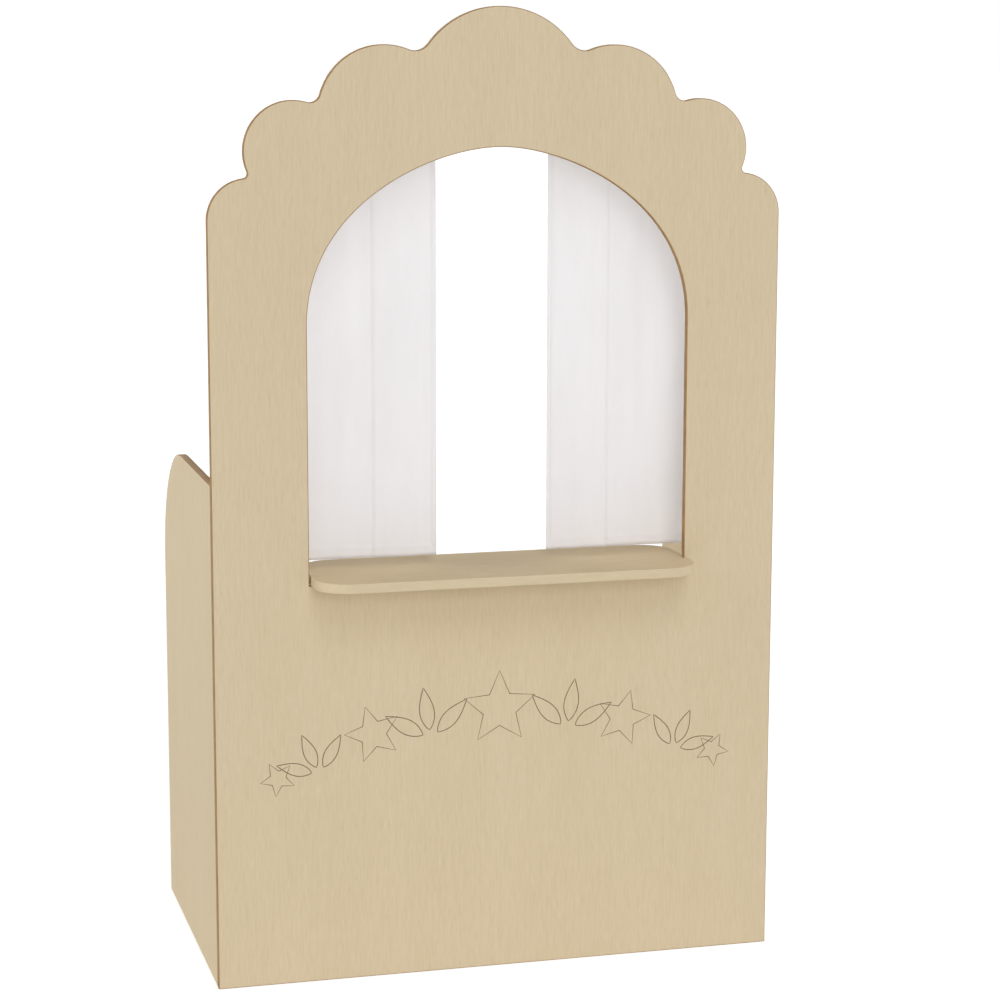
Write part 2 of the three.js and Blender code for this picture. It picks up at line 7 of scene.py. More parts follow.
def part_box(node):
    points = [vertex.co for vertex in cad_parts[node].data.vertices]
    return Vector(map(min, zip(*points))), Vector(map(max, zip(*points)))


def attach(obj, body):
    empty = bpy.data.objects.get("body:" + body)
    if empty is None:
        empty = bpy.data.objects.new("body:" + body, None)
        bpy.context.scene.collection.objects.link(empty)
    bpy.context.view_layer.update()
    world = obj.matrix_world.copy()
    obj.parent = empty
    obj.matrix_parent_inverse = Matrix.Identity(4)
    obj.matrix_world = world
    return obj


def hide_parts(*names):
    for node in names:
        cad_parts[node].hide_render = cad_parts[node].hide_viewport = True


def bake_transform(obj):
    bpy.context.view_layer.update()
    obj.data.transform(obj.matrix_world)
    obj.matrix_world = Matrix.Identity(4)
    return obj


# Looks of a free-standing puppet theatre: boards faced in pale maple with varnished brown edges, a
# playing shelf, white cotton curtains on a painted steel rod, and the fittings that hold it together.
# Metres, +Z up, the audience towards -Y. Places are those of the frame's nodes.

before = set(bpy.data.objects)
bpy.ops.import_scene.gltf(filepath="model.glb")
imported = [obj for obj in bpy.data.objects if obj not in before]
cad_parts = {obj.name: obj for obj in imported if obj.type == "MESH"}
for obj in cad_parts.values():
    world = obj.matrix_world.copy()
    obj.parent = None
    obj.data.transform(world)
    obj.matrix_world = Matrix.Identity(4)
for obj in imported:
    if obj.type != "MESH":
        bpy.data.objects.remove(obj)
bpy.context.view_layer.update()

# Sizes of the stand
PANEL_WIDTH = 1.100
BOARD = 0.015
FRONT_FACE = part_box("front_panel")[0].y
BACK_FACE = FRONT_FACE + BOARD
SIDE_HEIGHT = 0.968
SIDE_ROUND_DEPTH = 0.256
SIDE_ROUND_HEIGHT = 0.248
WINDOW_WIDTH = 0.736
WINDOW_SILL = 0.7725
WINDOW_TOP = 1.583
ARCH_RISE = 0.325
ARCH_JAMB_SHARE = 0.695
ARCH_CROWN_SHARE = 0.344

# Scalloped top, from the right shoulder to the crown: centre across, centre height, radius
LOBES = [
    (0.4738, 1.4544, 0.0762),
    (0.3894, 1.5782, 0.0926),
    (0.2200, 1.6462, 0.1242),
    (0.0, 1.6687, 0.1713),
]
VALLEY_RADII = [0.009, 0.0195, 0.032]
VALLEY_REACH_SHARE = 0.6

# How edges are eased and how finely round shapes are drawn
EDGE_EASE = 0.0016
BAND_EASE = 0.0006
STEEL_EASE = 0.0004
ARC_PIECE = math.radians(30)
CURVE_STEPS = 8
LONG_CURVE = 0.25
TURN_STEPS = 48
MERGE = 2e-6
SHARPEST = math.radians(35)
EASE_STEPS = 3
EASE_REACH_SHARE = 0.45

# A face is one of a board's broad faces when its normal lies this close to the board's axis
BROAD = 0.999

# Shelf
SHELF_CORNER = 0.065
SHELF_END_CLEARANCE = 0.0005
FIT = 0.0003
SHELF_BAND = 0.0015
GLUE_LINE = 0.0001

# Curtain rod, rings and curtains
ROD_RADIUS = 0.008
ROD_WALL = 0.0012
RING_HOLE = 0.011
RING_WIRE = 0.0018
RING_COUNT = 6
CLOTH = 0.0011
HEM_HEIGHT = 0.020
SIDE_HEM = 0.010
LEAD_FLAT = 0.119
STEP_WIDTH = 0.004
FOLD_FORWARD = 0.002
FOLD_BACK = 0.0015
PLEAT_DEPTH = 0.030
PLEAT_WIDTH = 0.054
PLEAT_COUNT = 3
GATHER_DROP = 0.110

SIDES = (("left", -1), ("right", 1))


def linear(code):
    """An sRGB hex colour as linear red, green, blue and alpha."""
    channels = [int(code[i:i + 2], 16) / 255 for i in (0, 2, 4)]
    return (*[c / 12.92 if c <= 0.04045 else ((c + 0.055) / 1.055) ** 2.4 for c in channels], 1.0)


def add_node(tree, kind, inputs=None, **settings):
    """Adds a shader node with its settings, its values and its links."""
    made = tree.nodes.new(kind)
    for name, value in settings.items():
        setattr(made, name, value)
    for name, value in (inputs or {}).items():
        socket = made.inputs[name]
        if isinstance(value, bpy.types.NodeSocket):
            tree.links.new(value, socket)
        else:
            socket.default_value = value
    return made


def new_material(name):
    """A material and its node tree, still empty."""
    material = bpy.data.materials.new(name)
    material.use_nodes = True
    material.node_tree.nodes.clear()
    return material, material.node_tree


# Sockets of the mixing node where it mixes colours
MIX_SHARE = 0
MIX_UNDER = 6
MIX_OVER = 7
MIX_RESULT = 2

# Nearly all values of a cloudy pattern lie between these
CLOUD_LOW = 0.3
CLOUD_HIGH = 0.7

# A wave texture draws this many bands in one unit of its scale
WAVE_UNITS = 20 / (2 * math.pi)


def clouds(tree, size, detail=3.0, roughness=0.5, place=None):
    """A cloudy pattern whose grains are as wide, deep and high as size says, in metres. It is laid out in
    the piece's own space, or over the given places."""
    scaled = add_node(tree, "ShaderNodeMapping", {
        "Vector": place or add_node(tree, "ShaderNodeTexCoord").outputs["Object"],
        "Scale": tuple(1 / length for length in size),
    })
    pattern = add_node(tree, "ShaderNodeTexNoise", {
        "Vector": scaled.outputs[0],
        "Scale": 1.0,
        "Detail": detail,
        "Roughness": roughness,
    })
    return pattern.outputs[0]


def layered(tree, tone, code, pattern, start=CLOUD_LOW, full=CLOUD_HIGH, share=1.0):
    """The tone with a colour laid over it: none of it where the pattern is at start, and a share of it
    where the pattern is at full."""
    amount = add_node(tree, "ShaderNodeMapRange", {
        "Value": pattern,
        "From Min": start,
        "From Max": full,
        "To Max": share,
    })
    layer = add_node(tree, "ShaderNodeMix", {
        MIX_SHARE: amount.outputs[0],
        MIX_UNDER: tone,
        MIX_OVER: linear(code),
    }, data_type="RGBA")
    return layer.outputs[MIX_RESULT]


def finished(tree, tone, roughness, relief=None, even=None, through=0.0):
    """Ends a material. Its roughness is one number, or a pattern with its least and greatest value. Its
    relief is a pattern with a depth in metres and a strength. Even values go to the shader as they are,
    and a share of the light may go through."""
    inputs = {"Base Color": tone, "Roughness": roughness, **(even or {})}
    if isinstance(roughness, tuple):
        inputs["Roughness"] = add_node(tree, "ShaderNodeMapRange", {
            "Value": roughness[0],
            "From Min": CLOUD_LOW,
            "From Max": CLOUD_HIGH,
            "To Min": roughness[1],
            "To Max": roughness[2],
        }).outputs[0]
    if relief:
        inputs["Normal"] = add_node(tree, "ShaderNodeBump", {
            "Height": relief[0],
            "Distance": relief[1],
            "Strength": relief[2],
        }).outputs[0]
    surface = add_node(tree, "ShaderNodeBsdfPrincipled", inputs)
    if through:
        passed = add_node(tree, "ShaderNodeBsdfTranslucent", {"Color": tone})
        surface = add_node(tree, "ShaderNodeMixShader", {
            0: through,
            1: surface.outputs[0],
            2: passed.outputs[0],
        })
    add_node(tree, "ShaderNodeOutputMaterial", {"Surface": surface.outputs[0]})


def maple_facing(name, along, painted_shade_tint=(1, 1, 1)):
    """Maple veneer under matt varnish: pale, with short fine pores and slow soft bands. The grain runs
    along one axis: 0, 1 or 2. A tint darkens and warms the whole sheet; the shelf's sheet uses it as painted
    shade and painted warm bounce light."""
    material, tree = new_material(name)

    def grain(across, length):
        return clouds(tree, [length if axis == along else across for axis in range(3)], 2.0)

    pores = grain(0.0028, 0.026)
    flecks = grain(0.0050, 0.090)
    bands = grain(0.080, 0.550)
    tone = layered(tree, linear("D2C1A2"), "D4C3A5", bands)
    tone = layered(tree, tone, "CAB997", flecks, 0.42, 0.72, 0.32)
    tone = layered(tree, tone, "C4B292", pores, 0.52, 0.74, 0.36)
    tone = layered(tree, tone, "DDCFB3", pores, 0.44, 0.26, 0.31)
    tone = add_node(tree, "ShaderNodeMix", {MIX_SHARE: 1.0, MIX_UNDER: tone, MIX_OVER: (*painted_shade_tint, 1)},
                    data_type="RGBA", blend_type="MULTIPLY").outputs[MIX_RESULT]
    finished(tree, tone, (flecks, 0.72, 0.80), (pores, 0.00004, 0.4),
             {"IOR": 1.5, "Specular IOR Level": 0.08})
    return material


def varnished_fibreboard():
    """Fibreboard edge under matt varnish: brown, with fine specks of fibre."""
    material, tree = new_material("varnished_fibreboard_edge")
    fibre = clouds(tree, (0.0012, 0.0012, 0.0012), 4.0, 0.7)
    patch = clouds(tree, (0.030, 0.030, 0.030), 2.0)
    tone = layered(tree, linear("9A7A55"), "A88861", patch)
    tone = layered(tree, tone, "7F613F", fibre, 0.50, 0.75, 0.6)
    tone = layered(tree, tone, "BA9E76", fibre, 0.45, 0.25, 0.5)
    finished(tree, tone, (fibre, 0.68, 0.78), (fibre, 0.00008, 0.5),
             {"IOR": 1.5, "Specular IOR Level": 0.08})
    return material


def burnt_line():
    """Line burnt into the facing: dark brown, matt, a little uneven in tone."""
    material, tree = new_material("burnt_line")
    char = clouds(tree, (0.006, 0.006, 0.006))
    finished(tree, layered(tree, linear("6A5740"), "84705A", char), 0.8)
    return material


def cotton_cloth():
    """Washed white cotton in plain weave: matt, faintly warm, thin enough for light to pass, with a soft
    nap that lifts its edges. Its threads are drawn 1.2 mm apart, about twice as coarse as real ones, so
    that they show."""
    material, tree = new_material("white_cotton")
    cloth = add_node(tree, "ShaderNodeUVMap", uv_map="cloth").outputs[0]
    threads = []
    for direction in ("X", "Y"):
        wave = add_node(tree, "ShaderNodeTexWave", {
            "Vector": cloth,
            "Scale": 1 / (0.0012 * WAVE_UNITS),
            "Distortion": 0.6,
            "Detail": 1.0,
            "Detail Scale": 0.5,
        }, wave_type="BANDS", bands_direction=direction)
        threads.append(wave.outputs["Fac"])
    weave = add_node(tree, "ShaderNodeMath", {0: threads[0], 1: threads[1]}, operation="MULTIPLY").outputs[0]
    slub = clouds(tree, (0.004, 0.060, 1.0), place=cloth)
    # Faint darker cloudy patches, taller than wide, are painted shade, as of soft creases in the cloth
    painted_crease_shade = clouds(tree, (0.070, 0.070, 0.220), 2.0)
    tone = layered(tree, linear("F2F1F2"), "F0EFF0", painted_crease_shade)
    tone = layered(tree, tone, "ECE9E8", slub, 0.5, 0.8, 0.30)
    tone = layered(tree, tone, "E0DDDC", weave, 0.5, 0.0, 0.18)
    finished(tree, tone, 0.92, (weave, 0.00012, 0.5), {"Sheen Weight": 0.25, "Sheen Roughness": 0.5},
             through=0.62)
    return material


def sewing_thread():
    """Spun polyester thread: white, matt, with its twist as fine diagonal bands 0.6 mm apart."""
    material, tree = new_material("sewing_thread")
    twist = add_node(tree, "ShaderNodeTexWave", {
        "Vector": add_node(tree, "ShaderNodeTexCoord").outputs["Object"],
        "Scale": 1 / (0.0006 * WAVE_UNITS),
    }, wave_type="BANDS", bands_direction="DIAGONAL").outputs["Fac"]
    finished(tree, layered(tree, linear("DAD6D1"), "F0EEEA", twist, 0.0, 1.0), 0.75)
    return material


def powder_coated_steel():
    """Steel tube under white powder coat: satin, with the faint orange peel of a baked coat."""
    material, tree = new_material("white_powder_coated_steel")
    peel = clouds(tree, (0.0020, 0.0020, 0.0020), 2.0)
    shade = clouds(tree, (0.040, 0.040, 0.040), 2.0)
    tone = layered(tree, linear("E6E4E0"), "E0DED9", shade)
    finished(tree, tone, 0.38, (peel, 0.00003, 0.4), {"IOR": 1.5})
    return material


def moulded_cap():
    """Moulded nylon: off-white, soft satin, with a fine spark-eroded texture."""
    material, tree = new_material("moulded_white_nylon")
    spark = clouds(tree, (0.0006, 0.0006, 0.0006), 3.0, 0.7)
    tone = layered(tree, linear("E4E2DC"), "ECEAE5", spark)
    finished(tree, tone, 0.52, (spark, 0.00003, 0.4), {"IOR": 1.53})
    return material


def zinc_plate():
    """Bright zinc on stamped and turned steel: grey metal with a slightly blue, blotchy passivation."""
    material, tree = new_material("bright_zinc_plate")
    blotch = clouds(tree, (0.006, 0.006, 0.006))
    fine = clouds(tree, (0.0008, 0.0008, 0.0008), 2.0)
    tone = layered(tree, linear("B4B6B6"), "C6C5C0", blotch)
    finished(tree, tone, (blotch, 0.30, 0.44), (fine, 0.00002, 0.4), {"Metallic": 1.0})
    return material


def beech_dowel():
    """Turned beech, bare: pinkish tan with short dark flecks along the peg."""
    material, tree = new_material("bare_beech")
    fleck = clouds(tree, (0.0006, 0.006, 0.0006), 2.0)
    tone = layered(tree, linear("D2AC7D"), "B98E60", fleck, 0.4, 0.7)
    finished(tree, tone, 0.7, (fleck, 0.00005, 0.5))
    return material


upright_maple = maple_facing("matt_maple_veneer_upright", 2)
lying_maple = maple_facing("matt_maple_veneer_lying", 0)
# The shelf's maple is the same veneer with painted shade: darker and warmer, for the shade and warm bounce
# light on the shelf's top
painted_shade_shelf_maple = maple_facing("matt_maple_veneer_shelf_painted_shade", 0, (0.985, 0.955, 0.915))
brown_edge = varnished_fibreboard()
burnt = burnt_line()
cotton = cotton_cloth()
thread = sewing_thread()
white_steel = powder_coated_steel()
nylon = moulded_cap()
zinc = zinc_plate()
beech = beech_dowel()


def in_scene(name, data):
    """A new object of the scene."""
    made = bpy.data.objects.new(name, data)
    bpy.context.scene.collection.objects.link(made)
    return made


def piece_of(name, bm, *materials):
    """A finished mesh as an object at the origin."""
    mesh = bpy.data.meshes.new(name)
    bm.to_mesh(mesh)
    bm.free()
    for material in materials:
        mesh.materials.append(material)
    return in_scene(name, mesh)


def settled(piece):
    """The piece's shape with its modifiers, as a mesh of its own."""
    graph = bpy.context.evaluated_depsgraph_get()
    return bpy.data.meshes.new_from_object(piece.evaluated_get(graph))


def filled(name, curve):
    """The shape of a flat or round curve as a mesh to work on."""
    drawn = in_scene(name + "_curve", curve)
    bpy.context.view_layer.update()
    mesh = settled(drawn)
    bpy.data.objects.remove(drawn)
    bm = bmesh.new()
    bm.from_mesh(mesh)
    bpy.data.meshes.remove(mesh)
    return bm


def carved(piece, cutters, operation="DIFFERENCE"):
    """Cuts the cutters out of the piece, or joins them to it."""
    for cutter in cutters:
        modifier = piece.modifiers.new(operation, "BOOLEAN")
        modifier.operation = operation
        modifier.solver = "EXACT"
        modifier.material_mode = "TRANSFER"
        modifier.object = cutter
    bpy.context.view_layer.update()
    mesh = settled(piece)
    piece.modifiers.clear()
    piece.data = mesh
    for cutter in cutters:
        bpy.data.objects.remove(cutter)
    return piece


def smooth(piece, flat_axis=None):
    """Smooth shading, except over sharp edges and on faces square to flat_axis."""
    bm = bmesh.new()
    bm.from_mesh(piece.data)
    bmesh.ops.remove_doubles(bm, verts=bm.verts, dist=MERGE)
    bmesh.ops.dissolve_degenerate(bm, dist=MERGE, edges=bm.edges)
    for face in bm.faces:
        face.smooth = flat_axis is None or abs(face.normal[flat_axis]) < BROAD
    for edge in bm.edges:
        edge.smooth = edge.calc_face_angle(0.0) < SHARPEST
    bm.to_mesh(piece.data)
    bm.free()
    return piece


def belongs(piece, body, slot, *nodes):
    """The piece rides on a body and stands for the nodes. The slot is not used."""
    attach(piece, body)
    if nodes:
        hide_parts(*nodes)


# Flat outlines are lists of curve pieces: start, handle, handle, end. A straight piece has no handles.
def straight(*points):
    """Straight pieces from point to point."""
    return [(Vector(start), None, None, Vector(end)) for start, end in zip(points, points[1:])]


def arc(centre, radius, start, end):
    count = max(1, math.ceil(abs(end - start) / ARC_PIECE))
    step = (end - start) / count
    reach = 4 / 3 * math.tan(step / 4)
    pieces = []
    for i in range(count):
        a, b = start + i * step, start + (i + 1) * step
        first, last = Vector((math.cos(a), math.sin(a))), Vector((math.cos(b), math.sin(b)))
        first_way, last_way = Vector((-first.y, first.x)), Vector((-last.y, last.x))
        centre_point = Vector(centre)
        pieces.append((
            centre_point + radius * first,
            centre_point + radius * (first + reach * first_way),
            centre_point + radius * (last - reach * last_way),
            centre_point + radius * last,
        ))
    return pieces


def rounded_box(x0, x1, y0, y1, radius):
    corners = [(x1, y1, 0), (x0, y1, 1), (x0, y0, 2), (x1, y0, 3)]
    arcs = []
    for x, y, quarter in corners:
        centre = (x - radius if x == x1 else x + radius, y - radius if y == y1 else y + radius)
        arcs.append(arc(centre, radius, quarter * math.pi / 2, (quarter + 1) * math.pi / 2))
    outline = []
    for i, pieces in enumerate(arcs):
        outline += pieces + straight(pieces[-1][3], arcs[(i + 1) % 4][0][0])
    return outline


def add_outline(curve, pieces):
    pieces = [p for p in pieces if (p[3] - p[0]).length > MERGE]
    spline = curve.splines.new("BEZIER")
    spline.bezier_points.add(len(pieces) - 1)
    spline.use_cyclic_u = True
    if any(p[1] and (p[3] - p[0]).length > LONG_CURVE for p in pieces):
        spline.resolution_u = 4 * CURVE_STEPS
    for i, (start, after, _, _) in enumerate(pieces):
        point = spline.bezier_points[i]
        before = pieces[i - 1][2]
        point.co = (*start, 0)
        point.handle_left_type = "FREE" if before else "VECTOR"
        point.handle_right_type = "FREE" if after else "VECTOR"
        if before:
            point.handle_left = (*before, 0)
        if after:
            point.handle_right = (*after, 0)


def board(name, outlines, thickness, ease, place, materials, thick_axis):
    """A board cut to a flat outline, with holes, and with eased edges. The outline lies in the plane
    that place turns it to. Its two faces take the first material, and its edges the last."""
    curve = bpy.data.curves.new(name, "CURVE")
    curve.dimensions = "2D"
    curve.fill_mode = "BOTH"
    curve.resolution_u = CURVE_STEPS
    curve.extrude = thickness / 2 - ease
    curve.bevel_depth = ease
    curve.bevel_resolution = 1
    curve.offset = -ease
    for outline in outlines:
        add_outline(curve, outline)
    bm = filled(name, curve)
    bmesh.ops.transform(bm, matrix=place, verts=bm.verts)
    bmesh.ops.remove_doubles(bm, verts=bm.verts, dist=MERGE)
    bmesh.ops.recalc_face_normals(bm, faces=bm.faces)
    for face in bm.faces:
        face.material_index = 0 if abs(face.normal[thick_axis]) > BROAD else len(materials) - 1
    return smooth(piece_of(name, bm, *materials), flat_axis=thick_axis)


# Places of flat outlines: seen from the front, seen from the right side, seen from above
STANDING = Matrix(((1, 0, 0, 0), (0, 0, -1, 0), (0, 1, 0, 0), (0, 0, 0, 1)))
SIDEWAYS = Matrix(((0, 0, 1, 0), (1, 0, 0, 0), (0, 1, 0, 0), (0, 0, 0, 1)))


def valley_between(first, second, wanted):
    """The small circle in the valley between two lobes, touching both."""
    a, b = Vector(first[:2]), Vector(second[:2])
    along = (b - a).normalized()
    distance = (b - a).length
    radius = max(wanted, VALLEY_REACH_SHARE * (distance - first[2] - second[2]))
    reach_a, reach_b = first[2] + radius, second[2] + radius
    share = (reach_a ** 2 - reach_b ** 2 + distance ** 2) / (2 * distance)
    out = math.sqrt(reach_a ** 2 - share ** 2)
    centre = a + along * share + Vector((along.y, -along.x)) * out
    return (*centre, radius)


def angle_to(origin, target):
    return math.atan2(target[1] - origin[1], target[0] - origin[0])


def turning(start, end, clockwise):
    """The end angle that is reached by turning the stated way from start."""
    turn = (start - end if clockwise else end - start) % (2 * math.pi)
    return start - turn if clockwise else start + turn


def scalloped_outline():
    half = PANEL_WIDTH / 2
    lobes = LOBES + [(-x, z, r) for x, z, r in reversed(LOBES[:-1])]
    radii = VALLEY_RADII + VALLEY_RADII[::-1]
    outline = straight((-half, 0), (half, 0), (half, LOBES[0][1]))
    start = 0.0
    for i, lobe in enumerate(lobes[:-1]):
        valley = valley_between(lobe, lobes[i + 1], radii[i])
        outline += arc(lobe[:2], lobe[2], start, turning(start, angle_to(lobe, valley), False))
        start = angle_to(valley, lobe)
        end = turning(start, angle_to(valley, lobes[i + 1]), True)
        outline += arc(valley[:2], valley[2], start, end)
        start = angle_to(lobes[i + 1], valley)
    last = lobes[-1]
    outline += arc(last[:2], last[2], start, turning(start, math.pi, False))
    return outline + straight((-half, last[1]), (-half, 0))


def window_outline():
    half = WINDOW_WIDTH / 2
    spring = WINDOW_TOP - ARCH_RISE
    jamb = spring + ARCH_RISE * ARCH_JAMB_SHARE
    crown = half * ARCH_CROWN_SHARE
    top = Vector((0, WINDOW_TOP))
    right = (Vector((half, spring)), Vector((half, jamb)), Vector((crown, WINDOW_TOP)), top)
    left = tuple(Vector((-p.x, p.y)) for p in reversed(right))
    return (
        straight((-half, WINDOW_SILL), (half, WINDOW_SILL), (half, spring))
        + [right, left]
        + straight((-half, spring), (-half, WINDOW_SILL))
    )


front_place = Matrix.Translation((0, FRONT_FACE + BOARD / 2, 0)) @ STANDING
front_panel = board("scalloped_front", [scalloped_outline(), window_outline()], BOARD, EDGE_EASE,
                    front_place, [upright_maple, brown_edge], 1)
belongs(front_panel, "stand", "faced_board", "front_panel")


def cylinder(name, radius, start, end, material):
    """A plain round bar between two points, for cutting."""
    start, end = Vector(start), Vector(end)
    bm = bmesh.new()
    bmesh.ops.create_cone(bm, cap_ends=True, segments=TURN_STEPS, radius1=radius, radius2=radius,
                          depth=(end - start).length)
    turn = Vector((0, 0, 1)).rotation_difference(end - start).to_matrix().to_4x4()
    bmesh.ops.transform(bm, matrix=Matrix.Translation((start + end) / 2) @ turn, verts=bm.verts)
    return piece_of(name, bm, material)


def block(name, low, high, material, ease=0.0):
    """A box between two corners, with its edges eased."""
    low, high = Vector(low), Vector(high)
    bm = bmesh.new()
    bmesh.ops.create_cube(bm, size=1.0)
    bmesh.ops.scale(bm, vec=high - low, verts=bm.verts)
    bmesh.ops.translate(bm, vec=(low + high) / 2, verts=bm.verts)
    if ease:
        bmesh.ops.bevel(bm, geom=bm.edges, offset=ease, offset_type="OFFSET", segments=2, profile=0.5,
                        affect="EDGES", clamp_overlap=True, material=-1)
    return piece_of(name, bm, material)


# Side panels, with pockets for the cams in their inner faces
def side_outline():
    """A side board seen from the right. Its top rear corner is a quarter of an ellipse."""
    low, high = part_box("side_panel_left")
    front, rear, top = low.y, high.y, SIDE_HEIGHT

    def on_side(point):
        return Vector((rear - SIDE_ROUND_DEPTH * (1 - point.x), top - SIDE_ROUND_HEIGHT * (1 - point.y)))

    quarter = [tuple(on_side(point) for point in piece) for piece in arc((0, 0), 1.0, 0.0, math.pi / 2)]
    return (
        straight((front, 0), (rear, 0), (rear, top - SIDE_ROUND_HEIGHT))
        + quarter
        + straight((rear - SIDE_ROUND_DEPTH, top), (front, top), (front, 0))
    )


for side, way in SIDES:
    middle = way * (PANEL_WIDTH - BOARD) / 2
    place = Matrix.Translation((middle, 0, 0)) @ SIDEWAYS
    panel = board(f"side_board_{side}", [side_outline()], BOARD, EDGE_EASE, place,
                  [upright_maple, brown_edge], 0)
    pockets = []
    for i in (1, 2, 3):
        low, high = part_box(f"cam_{side}_{i}")
        centre = (low + high) / 2
        radius = (high.z - low.z) / 2 + FIT
        inner = middle - way * BOARD
        deep = centre.x + way * ((high.x - low.x) / 2 + FIT)
        pockets.append(cylinder("pocket", radius, (inner, centre.y, centre.z), (deep, centre.y, centre.z),
                                brown_edge))
    carved(panel, pockets)
    smooth(panel, flat_axis=0)
    belongs(panel, "stand", "faced_board", f"side_panel_{side}")


# Shelf: a board inside a glued band
shelf_low, shelf_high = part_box("shelf_edge_band")
shelf_place = Matrix.Translation((0, 0, (shelf_low.z + shelf_high.z) / 2))
shelf_thickness = shelf_high.z - shelf_low.z


def shelf_outline(inset):
    return rounded_box(shelf_low.x + inset, shelf_high.x - inset, shelf_low.y + inset,
                       shelf_high.y - inset, SHELF_CORNER - inset)


def notched(piece):
    """Cuts the notch with which the shelf's right end hooks round the window's jamb."""
    start = WINDOW_WIDTH / 2 - SHELF_END_CLEARANCE
    return carved(piece, [block(
        "notch",
        (start, FRONT_FACE - FIT, shelf_low.z - BOARD),
        (start + BOARD, BACK_FACE + FIT, shelf_high.z + BOARD),
        brown_edge,
    )])


# The board's faces take the darker, warmer maple as painted shade on the shelf's top; the band keeps the
# plain maple
shelf = board("playing_shelf", [shelf_outline(SHELF_BAND + GLUE_LINE)], shelf_thickness, GLUE_LINE,
              shelf_place, [painted_shade_shelf_maple], 2)
belongs(smooth(notched(shelf), flat_axis=2), "stand", "faced_board", "puppet_shelf")
shelf_band = board("shelf_band", [shelf_outline(0), shelf_outline(SHELF_BAND)], shelf_thickness, BAND_EASE,
                   shelf_place, [lying_maple], 2)
belongs(smooth(notched(shelf_band), flat_axis=2), "stand", "edge_band", "shelf_edge_band")


# Ornament burnt into the lower front: outlined stars and leaves along a shallow arch
LINE_RADIUS = 0.0009
ARCH_TOP = 0.515
ARCH_RADIUS = 0.90
LINE_HEIGHT_SHARE = 0.25
STAR_TIPS = 5
STAR_WAIST_SHARE = 0.46
LEAF_WIDTH_SHARE = 0.34
LEAF_SWELL = 0.8
LEAF_SPREAD = math.radians(52)
LEAF_START_SHARE = 0.22
LEAF_STEPS = 18

# Sizes of the stars and leaves, those beside the middle with their distance from it
MIDDLE_STAR = 0.074
STARS = ((0.248, 0.056), (0.432, 0.034))
LEAVES = ((0.135, 0.084), (0.352, 0.070))


def arch_height(x):
    return ARCH_TOP - ARCH_RADIUS + math.sqrt(ARCH_RADIUS ** 2 - x ** 2)


def arch_lean(x):
    return -math.asin(x / ARCH_RADIUS)


def star_points(x, size):
    points = []
    for i in range(2 * STAR_TIPS):
        reach = size if i % 2 == 0 else size * STAR_WAIST_SHARE
        angle = math.pi / 2 + arch_lean(x) + i * math.pi / STAR_TIPS
        points.append((x + reach * math.cos(angle), arch_height(x) + reach * math.sin(angle)))
    return points


def leaf_points(x, size, turn):
    """A pointed leaf, swollen nearer its foot, that grows from a point of the arch at an angle."""
    turn += math.pi / 2 + arch_lean(x)
    edge = []
    for i in range(LEAF_STEPS + 1):
        along = i / LEAF_STEPS
        edge.append((along, LEAF_WIDTH_SHARE / 2 * math.sin(math.pi * along ** LEAF_SWELL)))
    whole = edge + [(along, -wide) for along, wide in reversed(edge[1:-1])]
    foot = (x, arch_height(x) - size / 2)
    return [
        (foot[0] + size * (LEAF_START_SHARE + along) * math.cos(turn) - size * wide * math.sin(turn),
         foot[1] + size * (LEAF_START_SHARE + along) * math.sin(turn) + size * wide * math.cos(turn))
        for along, wide in whole
    ]


def line_drawing(name, closed_lines):
    curve = bpy.data.curves.new(name, "CURVE")
    curve.dimensions = "3D"
    curve.bevel_depth = LINE_RADIUS
    curve.bevel_resolution = 2
    for points in closed_lines:
        spline = curve.splines.new("POLY")
        spline.points.add(len(points) - 1)
        spline.use_cyclic_u = True
        for point, (x, z) in zip(spline.points, points):
            point.co = (x, 0, z, 1)
    bm = filled(name, curve)
    bmesh.ops.remove_doubles(bm, verts=bm.verts, dist=MERGE)
    bmesh.ops.recalc_face_normals(bm, faces=bm.faces)
    bmesh.ops.scale(bm, vec=(1, LINE_HEIGHT_SHARE, 1), verts=bm.verts)
    bmesh.ops.translate(bm, vec=(0, FRONT_FACE, 0), verts=bm.verts)
    return smooth(piece_of(name, bm, burnt))


lines = [star_points(0, MIDDLE_STAR)]
for way in (-1, 1):
    for x, size in LEAVES:
        lines += [leaf_points(way * x, size, turn * LEAF_SPREAD) for turn in (-1, 0, 1)]
    lines += [star_points(way * x, size) for x, size in STARS]
belongs(line_drawing("front_ornament", lines), "stand", "faced_board")


def turned(name, profile, place, *materials, steps=TURN_STEPS):
    """A turned piece: a profile of radius and height spun round Z, then put in its place."""
    bm = bmesh.new()
    points = [bm.verts.new((radius, 0, height)) for radius, height in profile]
    edges = [bm.edges.new(pair) for pair in zip(points, points[1:])]
    bmesh.ops.spin(bm, geom=points + edges, cent=(0, 0, 0), axis=(0, 0, 1), angle=2 * math.pi,
                   steps=steps, use_merge=True)
    bmesh.ops.remove_doubles(bm, verts=bm.verts, dist=MERGE)
    bmesh.ops.dissolve_degenerate(bm, dist=MERGE, edges=bm.edges)
    bmesh.ops.recalc_face_normals(bm, faces=bm.faces)
    bmesh.ops.transform(bm, matrix=place, verts=bm.verts)
    return piece_of(name, bm, *materials)


